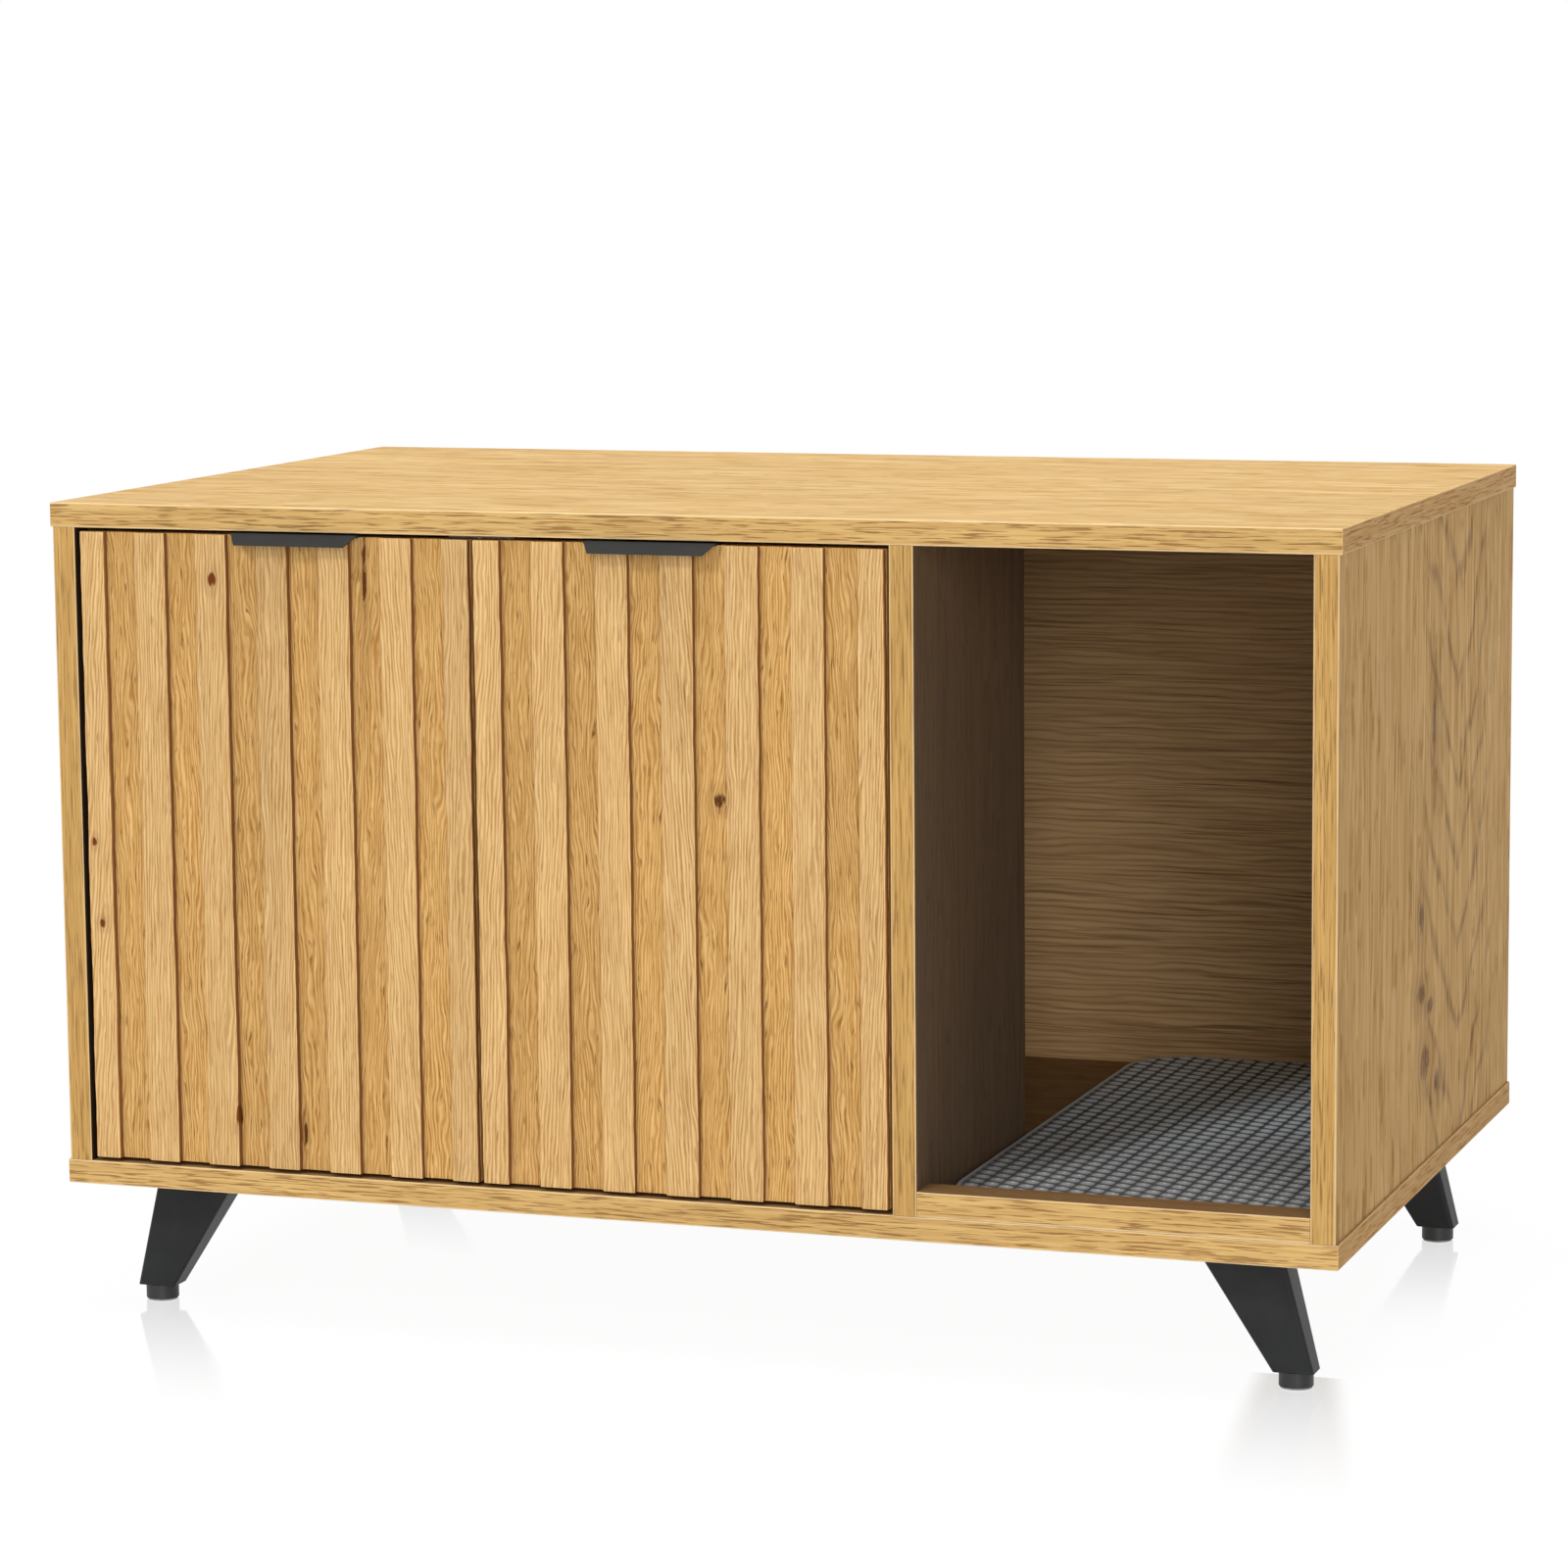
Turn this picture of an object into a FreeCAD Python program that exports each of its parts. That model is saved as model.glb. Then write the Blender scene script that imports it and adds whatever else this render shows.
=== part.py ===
"""Litter box cabinet: flat-packed boards on four splayed legs, with two ribbed doors.

Frame: millimetres, +Z up, the front looks towards -Y. The origin is on the floor, in the middle of
the cabinet's outline with its handles.
"""
import FreeCAD, Part
import Sketcher
import os
import re

# Driving dimensions, in millimetres.
SIZES = {
    # carcass
    "cabinet_width": 970,
    "cabinet_depth": 600,
    "carcass_height": 510,
    "board": 18,
    "side_inset": 2,
    "board_round": 1,
    "partition_depth": 267,
    "rail_depth": 30,
    "rail_height": 18,
    # back panel and the groove that holds it
    "back_thickness": 5,
    "back_setback": 5,
    "groove_depth": 7,
    "groove_play": 0.1,
    "groove_floor_play": 0.3,
    # litter mat
    "mat_thickness": 9,
    "mat_margin": 3,
    "mat_corner": 55,
    "mat_round": 3,
    "mat_play": 0.3,
    # legs
    "leg_length": 88,
    "leg_inset_side": 44,
    "leg_inset_front": 62.5,
    "leg_lean": 39,
    "leg_head_width": 64,
    "leg_head_depth": 30,
    "leg_tip_width": 30,
    "leg_tip_depth": 23,
    "leg_round": 3,
    "flange_thickness": 3,
    "flange_width": 80,
    "flange_depth": 54,
    "flange_screw_across": 28,
    "flange_screw_deep": 21.5,
    "leg_screw_radius": 2,
    "leg_screw_head": 3.8,
    "leg_screw_bite": 13,
    # levelling feet
    "foot_radius": 12.3,
    "foot_thickness": 10.5,
    "pad_radius": 11.3,
    "pad_thickness": 1.5,
    "spindle_radius": 4,
    "spindle_length": 30,
    "spindle_play": 0.05,
    # doors
    "door_width": 310,
    "door_gap": 3,
    "core_thickness": 15,
    "slat_depth": 5,
    "slat_width": 25.5,
    "edge_slat_width": 21.1,
    "slat_round": 1.2,
    "hinge_slat_round": 2.9,
    # handles
    "handle_length": 100,
    "handle_slant": 7,
    "handle_drop": 6.5,
    "handle_reach": 12,
    "lip_setback": 1,
    "lip_stretch": 1.6,
    "handle_sheet": 1.5,
    "handle_back_drop": 13,
    "handle_offset": 19,
    "handle_screw_spread": 32,
    "handle_screw_drop": 8.5,
    "handle_bend": 1.2,
    # concealed hinges
    "hinge_inset": 80,
    "pin_inset": 22,
    "pin_depth": 13,
    "pin_radius": 1.5,
    "pin_half_length": 17,
    "pin_play": 0.05,
    "pin_seat_play": 0.03,
    "cup_offset": 0.5,
    "cup_radius": 17.5,
    "cup_depth": 11.4,
    "cup_wall": 1.1,
    "cup_floor": 0.8,
    "cup_play": 0.1,
    "rim_overlap": 1.5,
    "rim_sheet": 0.8,
    "wing_offset": 9.5,
    "wing_half_width": 6,
    "wing_half_height": 28.5,
    "wing_screw_spread": 22.5,
    "eye_radius": 3.2,
    "arm_half_height": 7,
    "arm_sheet": 2.5,
    "arm_reach": 10,
    "arm_return": 26,
    "channel_length": 36,
    "channel_rise": 4,
    "plate_thickness": 4,
    "plate_half_height": 20,
    "plate_screw_setback": 57,
    "plate_screw_spread": 16,
    # small screws of doors and hinges
    "screw_radius": 1.75,
    "screw_length": 12,
    "screw_head": 3.5,
    "head_thickness": 2,
    "screw_play": 0.05,
    # magnetic catch
    "catch_half_width": 25,
    "catch_depth": 14,
    "catch_height": 16,
    "catch_gap": 0.3,
    "catch_peg_radius": 3,
    "catch_peg_length": 8,
    "catch_peg_spread": 14,
    "strike_radius": 6.5,
    "strike_thickness": 1.2,
    "strike_inset": 14,
    "strike_drop": 8,
    "strike_peg_radius": 1.25,
    "strike_peg_length": 8,
    # dowels and cam fittings
    "dowel_radius": 4,
    "dowel_bite": 12,
    "dowel_length": 32,
    "dowel_inset": 40,
    "cam_inset": 80,
    "cam_setback": 34,
    "cam_radius": 7.5,
    "cam_depth": 13.5,
    "bolt_radius": 3,
    "bolt_bite": 11,
    "fitting_play": 0.1,
    "bolt_play": 0.6,
}

SLATS = 7
ENDS = ("low", "high")

# Places that many pieces share, as formulas on the driving dimensions.
FRONT = "(handle_reach / 2 - cabinet_depth / 2)"
BOTTOM_Z = "(leg_length + foot_thickness + pad_thickness)"
WALL_Z = f"({BOTTOM_Z} + board)"
WALL_HEIGHT = "(carcass_height - 2 * board)"
TOP_Z = f"({WALL_Z} + {WALL_HEIGHT})"
LEFT_X = "(side_inset - cabinet_width / 2)"
BAY_X = f"({LEFT_X} + board)"
RIGHT_X = "(cabinet_width / 2 - side_inset - board)"
PARTITION_X = f"({BAY_X} + 2 * door_width + 3 * door_gap)"
ENTRY_X = f"({PARTITION_X} + board)"
BACK_FACE = "(cabinet_depth - back_setback - back_thickness)"
DOOR_Z = f"({WALL_Z} + door_gap)"
DOOR_HEIGHT = f"({WALL_HEIGHT} - 2 * door_gap)"
DOOR_THICKNESS = "(slat_depth + core_thickness)"
DOOR_BACK_Y = f"({FRONT} + {DOOR_THICKNESS})"
PIN_Y = f"({FRONT} + pin_depth)"
CUP_BACK = "(pin_inset + cup_offset)"
SLOT = f"((door_width - 2 * edge_slat_width - {SLATS - 2} * slat_width) / {SLATS - 1})"
HINGE_HEIGHTS = {
    "lower": f"({DOOR_Z} + hinge_inset)",
    "upper": f"({DOOR_Z} + {DOOR_HEIGHT} - hinge_inset)",
}

PLANES = {"top": ("XY_Plane", 1), "front": ("XZ_Plane", -1), "side": ("YZ_Plane", 1)}
TURNS = {
    "x": FreeCAD.Rotation(FreeCAD.Vector(0, 1, 0), 90),
    "y": FreeCAD.Rotation(FreeCAD.Vector(1, 0, 0), -90),
    "z": FreeCAD.Rotation(),
}

DOC = FreeCAD.newDocument("LitterBoxCabinet")
PIECES = []


def make_sheet():
    """Write every driving dimension into the spreadsheet, under its own name."""
    sheet = DOC.addObject("Spreadsheet::Sheet", "Sizes")
    for row, (name, value) in enumerate(SIZES.items(), start=1):
        sheet.set(f"A{row}", name)
        sheet.set(f"B{row}", str(value))
        sheet.setAlias(f"B{row}", name)
    DOC.recompute()


def formula(text):
    """Point each name in a formula at its cell."""
    return re.sub(r"[a-z][a-z_]+", lambda found: "Sizes." + found.group(0), text)


def bind(thing, path, text):
    """Tie one property to a formula."""
    thing.setExpression(path, formula(text))


def place(thing, corner):
    """Tie the place of an object to three formulas."""
    for axis, text in zip("xyz", corner):
        bind(thing, f"Placement.Base.{axis}", text)


def keep(piece, label):
    """Name a finished sub-part and put it on the list of pieces to write."""
    piece.Label = label
    PIECES.append(piece)
    return piece


# ---------------------------------------------------------------- plain solids and booleans

def box(corner, size):
    """A block from its low corner and its three sides."""
    block = DOC.addObject("Part::Box", "Block")
    for side, text in zip(("Length", "Width", "Height"), size):
        bind(block, side, text)
    place(block, corner)
    return block


def cylinder(start, radius, length, along="z"):
    """A round bar from the middle of its first end."""
    bar = DOC.addObject("Part::Cylinder", "Bar")
    bar.Placement = FreeCAD.Placement(FreeCAD.Vector(), TURNS[along])
    bind(bar, "Radius", radius)
    bind(bar, "Height", length)
    place(bar, start)
    return bar


def fuse(shapes):
    """Join several solids into one."""
    joined = DOC.addObject("Part::MultiFuse", "Joined")
    joined.Shapes = shapes
    return joined


def cut(base, tools):
    """Take several solids away from one."""
    carved = DOC.addObject("Part::Cut", "Carved")
    carved.Base = base
    carved.Tool = tools[0] if len(tools) == 1 else fuse(tools)
    return carved


def group(shapes):
    """Hold identical pieces together as separate solids."""
    held = DOC.addObject("Part::Compound", "Group")
    held.Links = shapes
    return held


# ---------------------------------------------------------------- sketched bodies

class Blank:
    """A body that is padded, cut and rounded from sketches on its own planes."""

    def __init__(self, label, corner, turned=False):
        self.body = keep(DOC.addObject("PartDesign::Body", label), label)
        if turned:
            half_turn = FreeCAD.Rotation(FreeCAD.Vector(0, 0, 1), 180)
            self.body.Placement = FreeCAD.Placement(FreeCAD.Vector(), half_turn)
        place(self.body, corner)

    def plane(self, name):
        """One of the body's own origin planes."""
        role = PLANES[name][0]
        return [item for item in self.body.Origin.OriginFeatures if item.Role == role][0]

    def sketch(self, plane, level, outlines=(), circles=()):
        """Draw closed outlines and circles on a plane at a level along its axis."""
        sign = PLANES[plane][1]
        drawing = self.body.newObject("Sketcher::SketchObject", "Sketch")
        drawing.AttachmentSupport = [(self.plane(plane), "")]
        drawing.MapMode = "FlatFace"
        bind(drawing, "AttachmentOffset.Base.z", level if sign > 0 else f"0 - ({level})")
        for outline in outlines:
            draw_outline(drawing, outline)
        for circle in circles:
            draw_circle(drawing, circle)
        return drawing

    def pad(self, plane, level, length, outline):
        """Add material from a level along the plane's axis."""
        drawing = self.sketch(plane, level, outlines=[outline])
        feature = self.body.newObject("PartDesign::Pad", "Pad")
        feature.Profile = drawing
        bind(feature, "Length", length)
        feature.Reversed = PLANES[plane][1] < 0
        DOC.recompute()

    def pocket(self, plane, level, depth, outlines=(), circles=()):
        """Take material away from a level along the plane's axis."""
        before = self.body.Shape.Volume
        drawing = self.sketch(plane, level, outlines, circles)
        feature = self.body.newObject("PartDesign::Pocket", "Pocket")
        feature.Profile = drawing
        bind(feature, "Length", depth)
        feature.Reversed = PLANES[plane][1] > 0
        DOC.recompute()
        if self.body.Shape.Volume >= before:
            raise RuntimeError(f"a pocket in {self.body.Label} cuts nothing")

    def taper(self, low, high, height):
        """Stand a tapered block between two levels, each end (left, right, half depth)."""
        feature = self.body.newObject("PartDesign::AdditiveWedge", "Taper")
        feature.AttachmentSupport = [(self.plane("front"), "")]
        feature.MapMode = "FlatFace"
        for second, (left, right, half_depth) in (("", low), ("2", high)):
            bind(feature, f"X{second}min", left)
            bind(feature, f"X{second}max", right)
            bind(feature, f"Z{second}min", f"0 - ({half_depth})")
            bind(feature, f"Z{second}max", half_depth)
        bind(feature, "Ymin", "0 * board")
        bind(feature, "Ymax", height)
        DOC.recompute()

    def round_edges(self, radius, wanted):
        """Round the edges that the test picks."""
        tip = self.body.Tip
        names = [f"Edge{i}" for i, edge in enumerate(tip.Shape.Edges, start=1) if wanted(edge)]
        feature = self.body.newObject("PartDesign::Fillet", "Fillet")
        feature.Base = (tip, names)
        bind(feature, "Radius", radius)
        DOC.recompute()


def pin_point(drawing, line, corner):
    """Fix the start of a line at two formulas."""
    for kind, text in zip(("DistanceX", "DistanceY"), corner):
        point = drawing.getPoint(line, 1)
        now = point.x if kind == "DistanceX" else point.y
        index = drawing.addConstraint(Sketcher.Constraint(kind, -1, 1, line, 1, now))
        drawing.setExpression(f"Constraints[{index}]", formula(text))


def draw_outline(drawing, corners):
    """Draw a closed outline whose corners are fixed by formulas."""
    first = drawing.GeometryCount
    count = len(corners)
    rough = [(float(i in (1, 2)), float(i > 1)) for i in range(count)]
    for i in range(count):
        start, end = rough[i], rough[(i + 1) % count]
        line = Part.LineSegment(FreeCAD.Vector(*start, 0), FreeCAD.Vector(*end, 0))
        drawing.addGeometry(line, False)
    for i in range(count):
        following = first + (i + 1) % count
        drawing.addConstraint(Sketcher.Constraint("Coincident", first + i, 2, following, 1))
    for i, corner in enumerate(corners):
        pin_point(drawing, first + i, corner)


def draw_circle(drawing, circle):
    """Draw a circle with its centre and radius fixed by formulas."""
    x, y, radius = circle
    index = drawing.addGeometry(Part.Circle(), False)
    for kind, text in zip(("DistanceX", "DistanceY"), (x, y)):
        number = drawing.addConstraint(Sketcher.Constraint(kind, -1, 1, index, 3, 0.0))
        drawing.setExpression(f"Constraints[{number}]", formula(text))
    number = drawing.addConstraint(Sketcher.Constraint("Radius", index, 1.0))
    drawing.setExpression(f"Constraints[{number}]", formula(radius))


def rectangle(left, low, right, high):
    """The corners of an upright rectangle."""
    return [(left, low), (right, low), (right, high), (left, high)]


def value(text):
    """Work a formula out with the numbers of the sheet."""
    return float(DOC.Sizes.evalExpression(formula(text)))


def every_edge(_edge):
    """Pick all edges."""
    return True


def edges_at(axis, text, along=None):
    """Pick edges that lie at one place on an axis, and run along another if that is named."""
    target = value(text)

    def wanted(edge):
        bounds = edge.BoundBox
        low, high = getattr(bounds, axis + "Min"), getattr(bounds, axis + "Max")
        level = abs(low - target) < 0.01 and abs(high - target) < 0.01
        if along is None:
            return level
        run = getattr(bounds, along + "Max") - getattr(bounds, along + "Min")
        return level and abs(run - edge.Length) < 0.01

    return wanted


# ---------------------------------------------------------------- carcass

WALLS = {
    "left_side_panel": (LEFT_X, "cabinet_depth", "high"),
    "right_side_panel": (RIGHT_X, "cabinet_depth", "low"),
    "front_partition": (PARTITION_X, "partition_depth", "low"),
}


def rows(depth, inset):
    """The two places along a wall's depth, as far from its front as from its back."""
    return [inset, f"({depth} - {inset})"]


def panel_holes(inset, radius):
    """Circles in a panel over every wall's fittings."""
    circles = []
    for low_x, depth, _face in WALLS.values():
        across = f"({low_x} + board / 2 + cabinet_width / 2)"
        circles += [(across, row, radius) for row in rows(depth, inset)]
    return circles


def make_panel(label, level, inner_end):
    """The top or bottom board, with blind holes and a stopped groove in its inner face."""
    blank = Blank(label, ("0 - cabinet_width / 2", FRONT, level))
    outline = rectangle("0 * board", "0 * board", "cabinet_width", "cabinet_depth")
    blank.pad("top", "0 * board", "board", outline)
    blank.round_edges("board_round", every_edge)

    def carve(depth, outlines=(), circles=()):
        start = "0 * board" if inner_end == "low" else f"board - ({depth})"
        blank.pocket("top", start, depth, outlines, circles)

    side = "(side_inset + board - groove_depth)"
    front, rear = f"({BACK_FACE} - groove_play)", f"({BACK_FACE} + back_thickness + groove_play)"
    carve("groove_depth", [rectangle(side, front, f"(cabinet_width - {side})", rear)])
    carve("dowel_bite + fitting_play", circles=panel_holes("dowel_inset",
                                                           "dowel_radius + fitting_play"))
    carve("bolt_bite", circles=panel_holes("cam_inset", "bolt_radius + fitting_play"))
    return blank


def make_bottom_panel():
    """The bottom board also takes the leg screws from below."""
    blank = make_panel("bottom_panel", BOTTOM_Z, "high")
    circles = []
    for leg in LEGS:
        for x, y in leg.screw_places():
            circles.append((f"{x} + cabinet_width / 2", f"{y} - {FRONT}",
                            "leg_screw_radius + screw_play"))
    blank.pocket("top", "0 * board", "leg_screw_bite + screw_play", circles=circles)


def make_top_panel():
    """The top board also takes the two pegs of the magnetic catch."""
    blank = make_panel("top_panel", TOP_Z, "low")
    circles = [(f"{x} + cabinet_width / 2", f"{CATCH_Y} + catch_depth / 2 - {FRONT}",
                "catch_peg_radius + fitting_play") for x in catch_pegs()]
    blank.pocket("top", "0 * board", "catch_peg_length + fitting_play", circles=circles)


def face_level(face, depth):
    """Where a cut into a wall's low or high face starts."""
    return "0 * board" if face == "low" else f"board - ({depth})"


def make_wall(label):
    """An upright board with holes in both ends and cam bores in its inner face."""
    low_x, depth, face = WALLS[label]
    blank = Blank(label, (low_x, FRONT, WALL_Z))
    blank.pad("top", "0 * board", WALL_HEIGHT,
              rectangle("0 * board", "0 * board", "board", depth))
    blank.round_edges("board_round", edges_at("Y", "0 * board", "Z"))
    for inset, radius, reach in (
            ("dowel_inset", "dowel_radius + fitting_play",
             "(dowel_length - dowel_bite + fitting_play)"),
            ("cam_inset", "bolt_radius + bolt_play", "cam_setback")):
        circles = [("board / 2", row, radius) for row in rows(depth, inset)]
        blank.pocket("top", "0 * board", reach, circles=circles)
        blank.pocket("top", f"{WALL_HEIGHT} - {reach}", reach, circles=circles)
    cams = [(row, height, "cam_radius") for row in rows(depth, "cam_inset")
            for height in ("cam_setback", f"{WALL_HEIGHT} - cam_setback")]
    blank.pocket("side", face_level(face, "cam_depth"), "cam_depth", circles=cams)
    return blank


def make_side_wall(label):
    """A side board is a wall with the groove for the back panel."""
    blank = make_wall(label)
    face = WALLS[label][2]
    groove = rectangle(f"{BACK_FACE} - groove_play", "0 * board",
                       f"{BACK_FACE} + back_thickness + groove_play", WALL_HEIGHT)
    blank.pocket("side", face_level(face, "groove_depth"), "groove_depth", [groove])
    return blank


def add_rail_hole(blank, face):
    """Bore a wall for the dowel at one end of the threshold rail."""
    circle = ("rail_depth / 2", "rail_height / 2", "dowel_radius + fitting_play")
    reach = "(dowel_bite + fitting_play)"
    blank.pocket("side", face_level(face, reach), reach, circles=[circle])


def add_plate_holes(blank, face):
    """Bore a wall for the screws of the hinge mounting plates."""
    circles = [("plate_screw_setback", f"{height} - {WALL_Z}", "screw_radius + screw_play")
               for height in plate_screw_heights()]
    reach = "(screw_length - plate_thickness + screw_play)"
    blank.pocket("side", face_level(face, reach), reach, circles=circles)


def make_walls():
    """Both sides and the partition that stops short of the back."""
    add_plate_holes(make_side_wall("left_side_panel"), "high")
    add_rail_hole(make_side_wall("right_side_panel"), "low")
    partition = make_wall("front_partition")
    add_plate_holes(partition, "low")
    add_rail_hole(partition, "high")


def make_back_panel():
    """The thin back, held in the grooves all round."""
    lap = "(groove_depth - groove_floor_play)"
    corner = (f"{BAY_X} - {lap}", f"{FRONT} + {BACK_FACE}", f"{WALL_Z} - {lap}")
    size = (f"{RIGHT_X} - {BAY_X} + 2 * {lap}", "back_thickness", f"{WALL_HEIGHT} + 2 * {lap}")
    keep(box(corner, size), "back_panel")


def make_rail():
    """The threshold strip between the partition and the right side, on a dowel at each end."""
    length = f"({RIGHT_X} - {ENTRY_X})"
    blank = Blank("threshold_rail", (ENTRY_X, FRONT, WALL_Z))
    blank.pad("top", "0 * board", "rail_height",
              rectangle("0 * board", "0 * board", length, "rail_depth"))
    blank.round_edges("board_round", edges_at("Z", "rail_height", "X"))
    circle = ("rail_depth / 2", "rail_height / 2", "dowel_radius + fitting_play")
    reach = "(dowel_length - dowel_bite + fitting_play)"
    for start in ("0 * board", f"{length} - {reach}"):
        blank.pocket("side", start, reach, circles=[circle])


def make_mat():
    """The litter mat, lying loose on the floor of the entry bay."""
    start = f"({FRONT} + rail_depth + mat_margin)"
    width = f"({RIGHT_X} - {ENTRY_X} - 2 * mat_margin)"
    length = f"({FRONT} + {BACK_FACE} - mat_margin - {start})"
    blank = Blank("litter_mat", (f"{ENTRY_X} + mat_margin", start, f"{WALL_Z} + mat_play"))
    blank.pad("top", "0 * board", "mat_thickness",
              rectangle("0 * board", "0 * board", width, length))
    upright = value("mat_thickness")
    blank.round_edges("mat_corner", lambda edge: abs(edge.BoundBox.ZLength - upright) < 0.01)
    blank.round_edges("mat_round", edges_at("Z", "mat_thickness"))


# ---------------------------------------------------------------- legs and feet

class Leg:
    """One tapered leg that leans out to its side, with its foot and its screws."""

    def __init__(self, end, side):
        self.name = f"{end}_{side}"
        self.side = side
        inset = "(leg_inset_side - cabinet_width / 2)"
        self.x = inset if side == "left" else f"(0 - {inset})"
        deep = "leg_inset_front" if end == "front" else "(cabinet_depth - leg_inset_front)"
        self.y = f"({FRONT} + {deep})"
        self.foot_z = "pad_thickness"
        self.leg_z = "(pad_thickness + foot_thickness)"

    def screw_places(self):
        """Where the four screws of this leg's flange stand."""
        inward = "+" if self.side == "left" else "-"
        return [(f"({self.x} {inward} leg_lean {a} flange_screw_across)",
                 f"({self.y} {b} flange_screw_deep)") for a in "+-" for b in "+-"]

    def make_leg(self):
        """The tapered leg with its flange, the spindle's bore and the screw holes."""
        blank = Blank(f"{self.name}_leg", (self.x, self.y, self.leg_z), self.side == "right")
        tip = ("0 - leg_tip_width / 2", "leg_tip_width / 2", "leg_tip_depth / 2")
        head = ("leg_lean - leg_head_width / 2", "leg_lean + leg_head_width / 2",
                "leg_head_depth / 2")
        blank.taper(tip, head, "leg_length")
        rise = value("leg_length")
        blank.round_edges("leg_round", lambda edge: abs(edge.BoundBox.ZLength - rise) < 0.01)
        blank.pad("top", "leg_length - flange_thickness", "flange_thickness",
                  centred("leg_lean", "flange_width", "flange_depth"))
        bore = ("0 * board", "0 * board", "spindle_radius")
        blank.pocket("top", "0 * board", "spindle_length + spindle_play + foot_thickness / 2",
                     circles=[bore])
        holes = [(f"leg_lean {a} flange_screw_across", f"0 {b} flange_screw_deep",
                  "leg_screw_radius + screw_play") for a in "+-" for b in "+-"]
        blank.pocket("top", "leg_length - flange_thickness", "flange_thickness", circles=holes)

    def make_foot(self):
        """The levelling foot: a disc under the leg and a spindle up inside it."""
        disc = cylinder((self.x, self.y, self.foot_z), "foot_radius", "foot_thickness")
        spindle = cylinder((self.x, self.y, self.foot_z), "spindle_radius - spindle_play",
                           "foot_thickness + spindle_length")
        keep(fuse([disc, spindle]), f"{self.name}_foot")
        pad = cylinder((self.x, self.y, "0 * board"), "pad_radius", "pad_thickness")
        keep(pad, f"{self.name}_foot_pad")

    def make_screws(self):
        """The four screws through the flange into the bottom board."""
        screws = []
        seat = f"({BOTTOM_Z} - flange_thickness)"
        for x, y in self.screw_places():
            head = cylinder((x, y, f"{seat} - head_thickness"), "leg_screw_head",
                            "head_thickness")
            shank = cylinder((x, y, f"{seat} - head_thickness / 2"), "leg_screw_radius",
                             "head_thickness / 2 + flange_thickness + leg_screw_bite")
            screws.append(fuse([head, shank]))
        return screws


def centred(middle, width, depth):
    """A rectangle about a point on the X axis of its plane."""
    return rectangle(f"{middle} - {width} / 2", f"0 - {depth} / 2",
                     f"{middle} + {width} / 2", f"{depth} / 2")


LEGS = [Leg(end, side) for end in ("front", "back") for side in ("left", "right")]


def make_legs():
    """All four legs, their feet, and their screws as one group."""
    screws = []
    for leg in LEGS:
        leg.make_leg()
        leg.make_foot()
        screws += leg.make_screws()
    keep(group(screws), "leg_screws")


# ---------------------------------------------------------------- doors and hinges

def plate_screw_heights():
    """The heights of the screws of a door's two mounting plates."""
    return [f"({height} {sign} plate_screw_spread)" for height in HINGE_HEIGHTS.values()
            for sign in "+-"]


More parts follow.
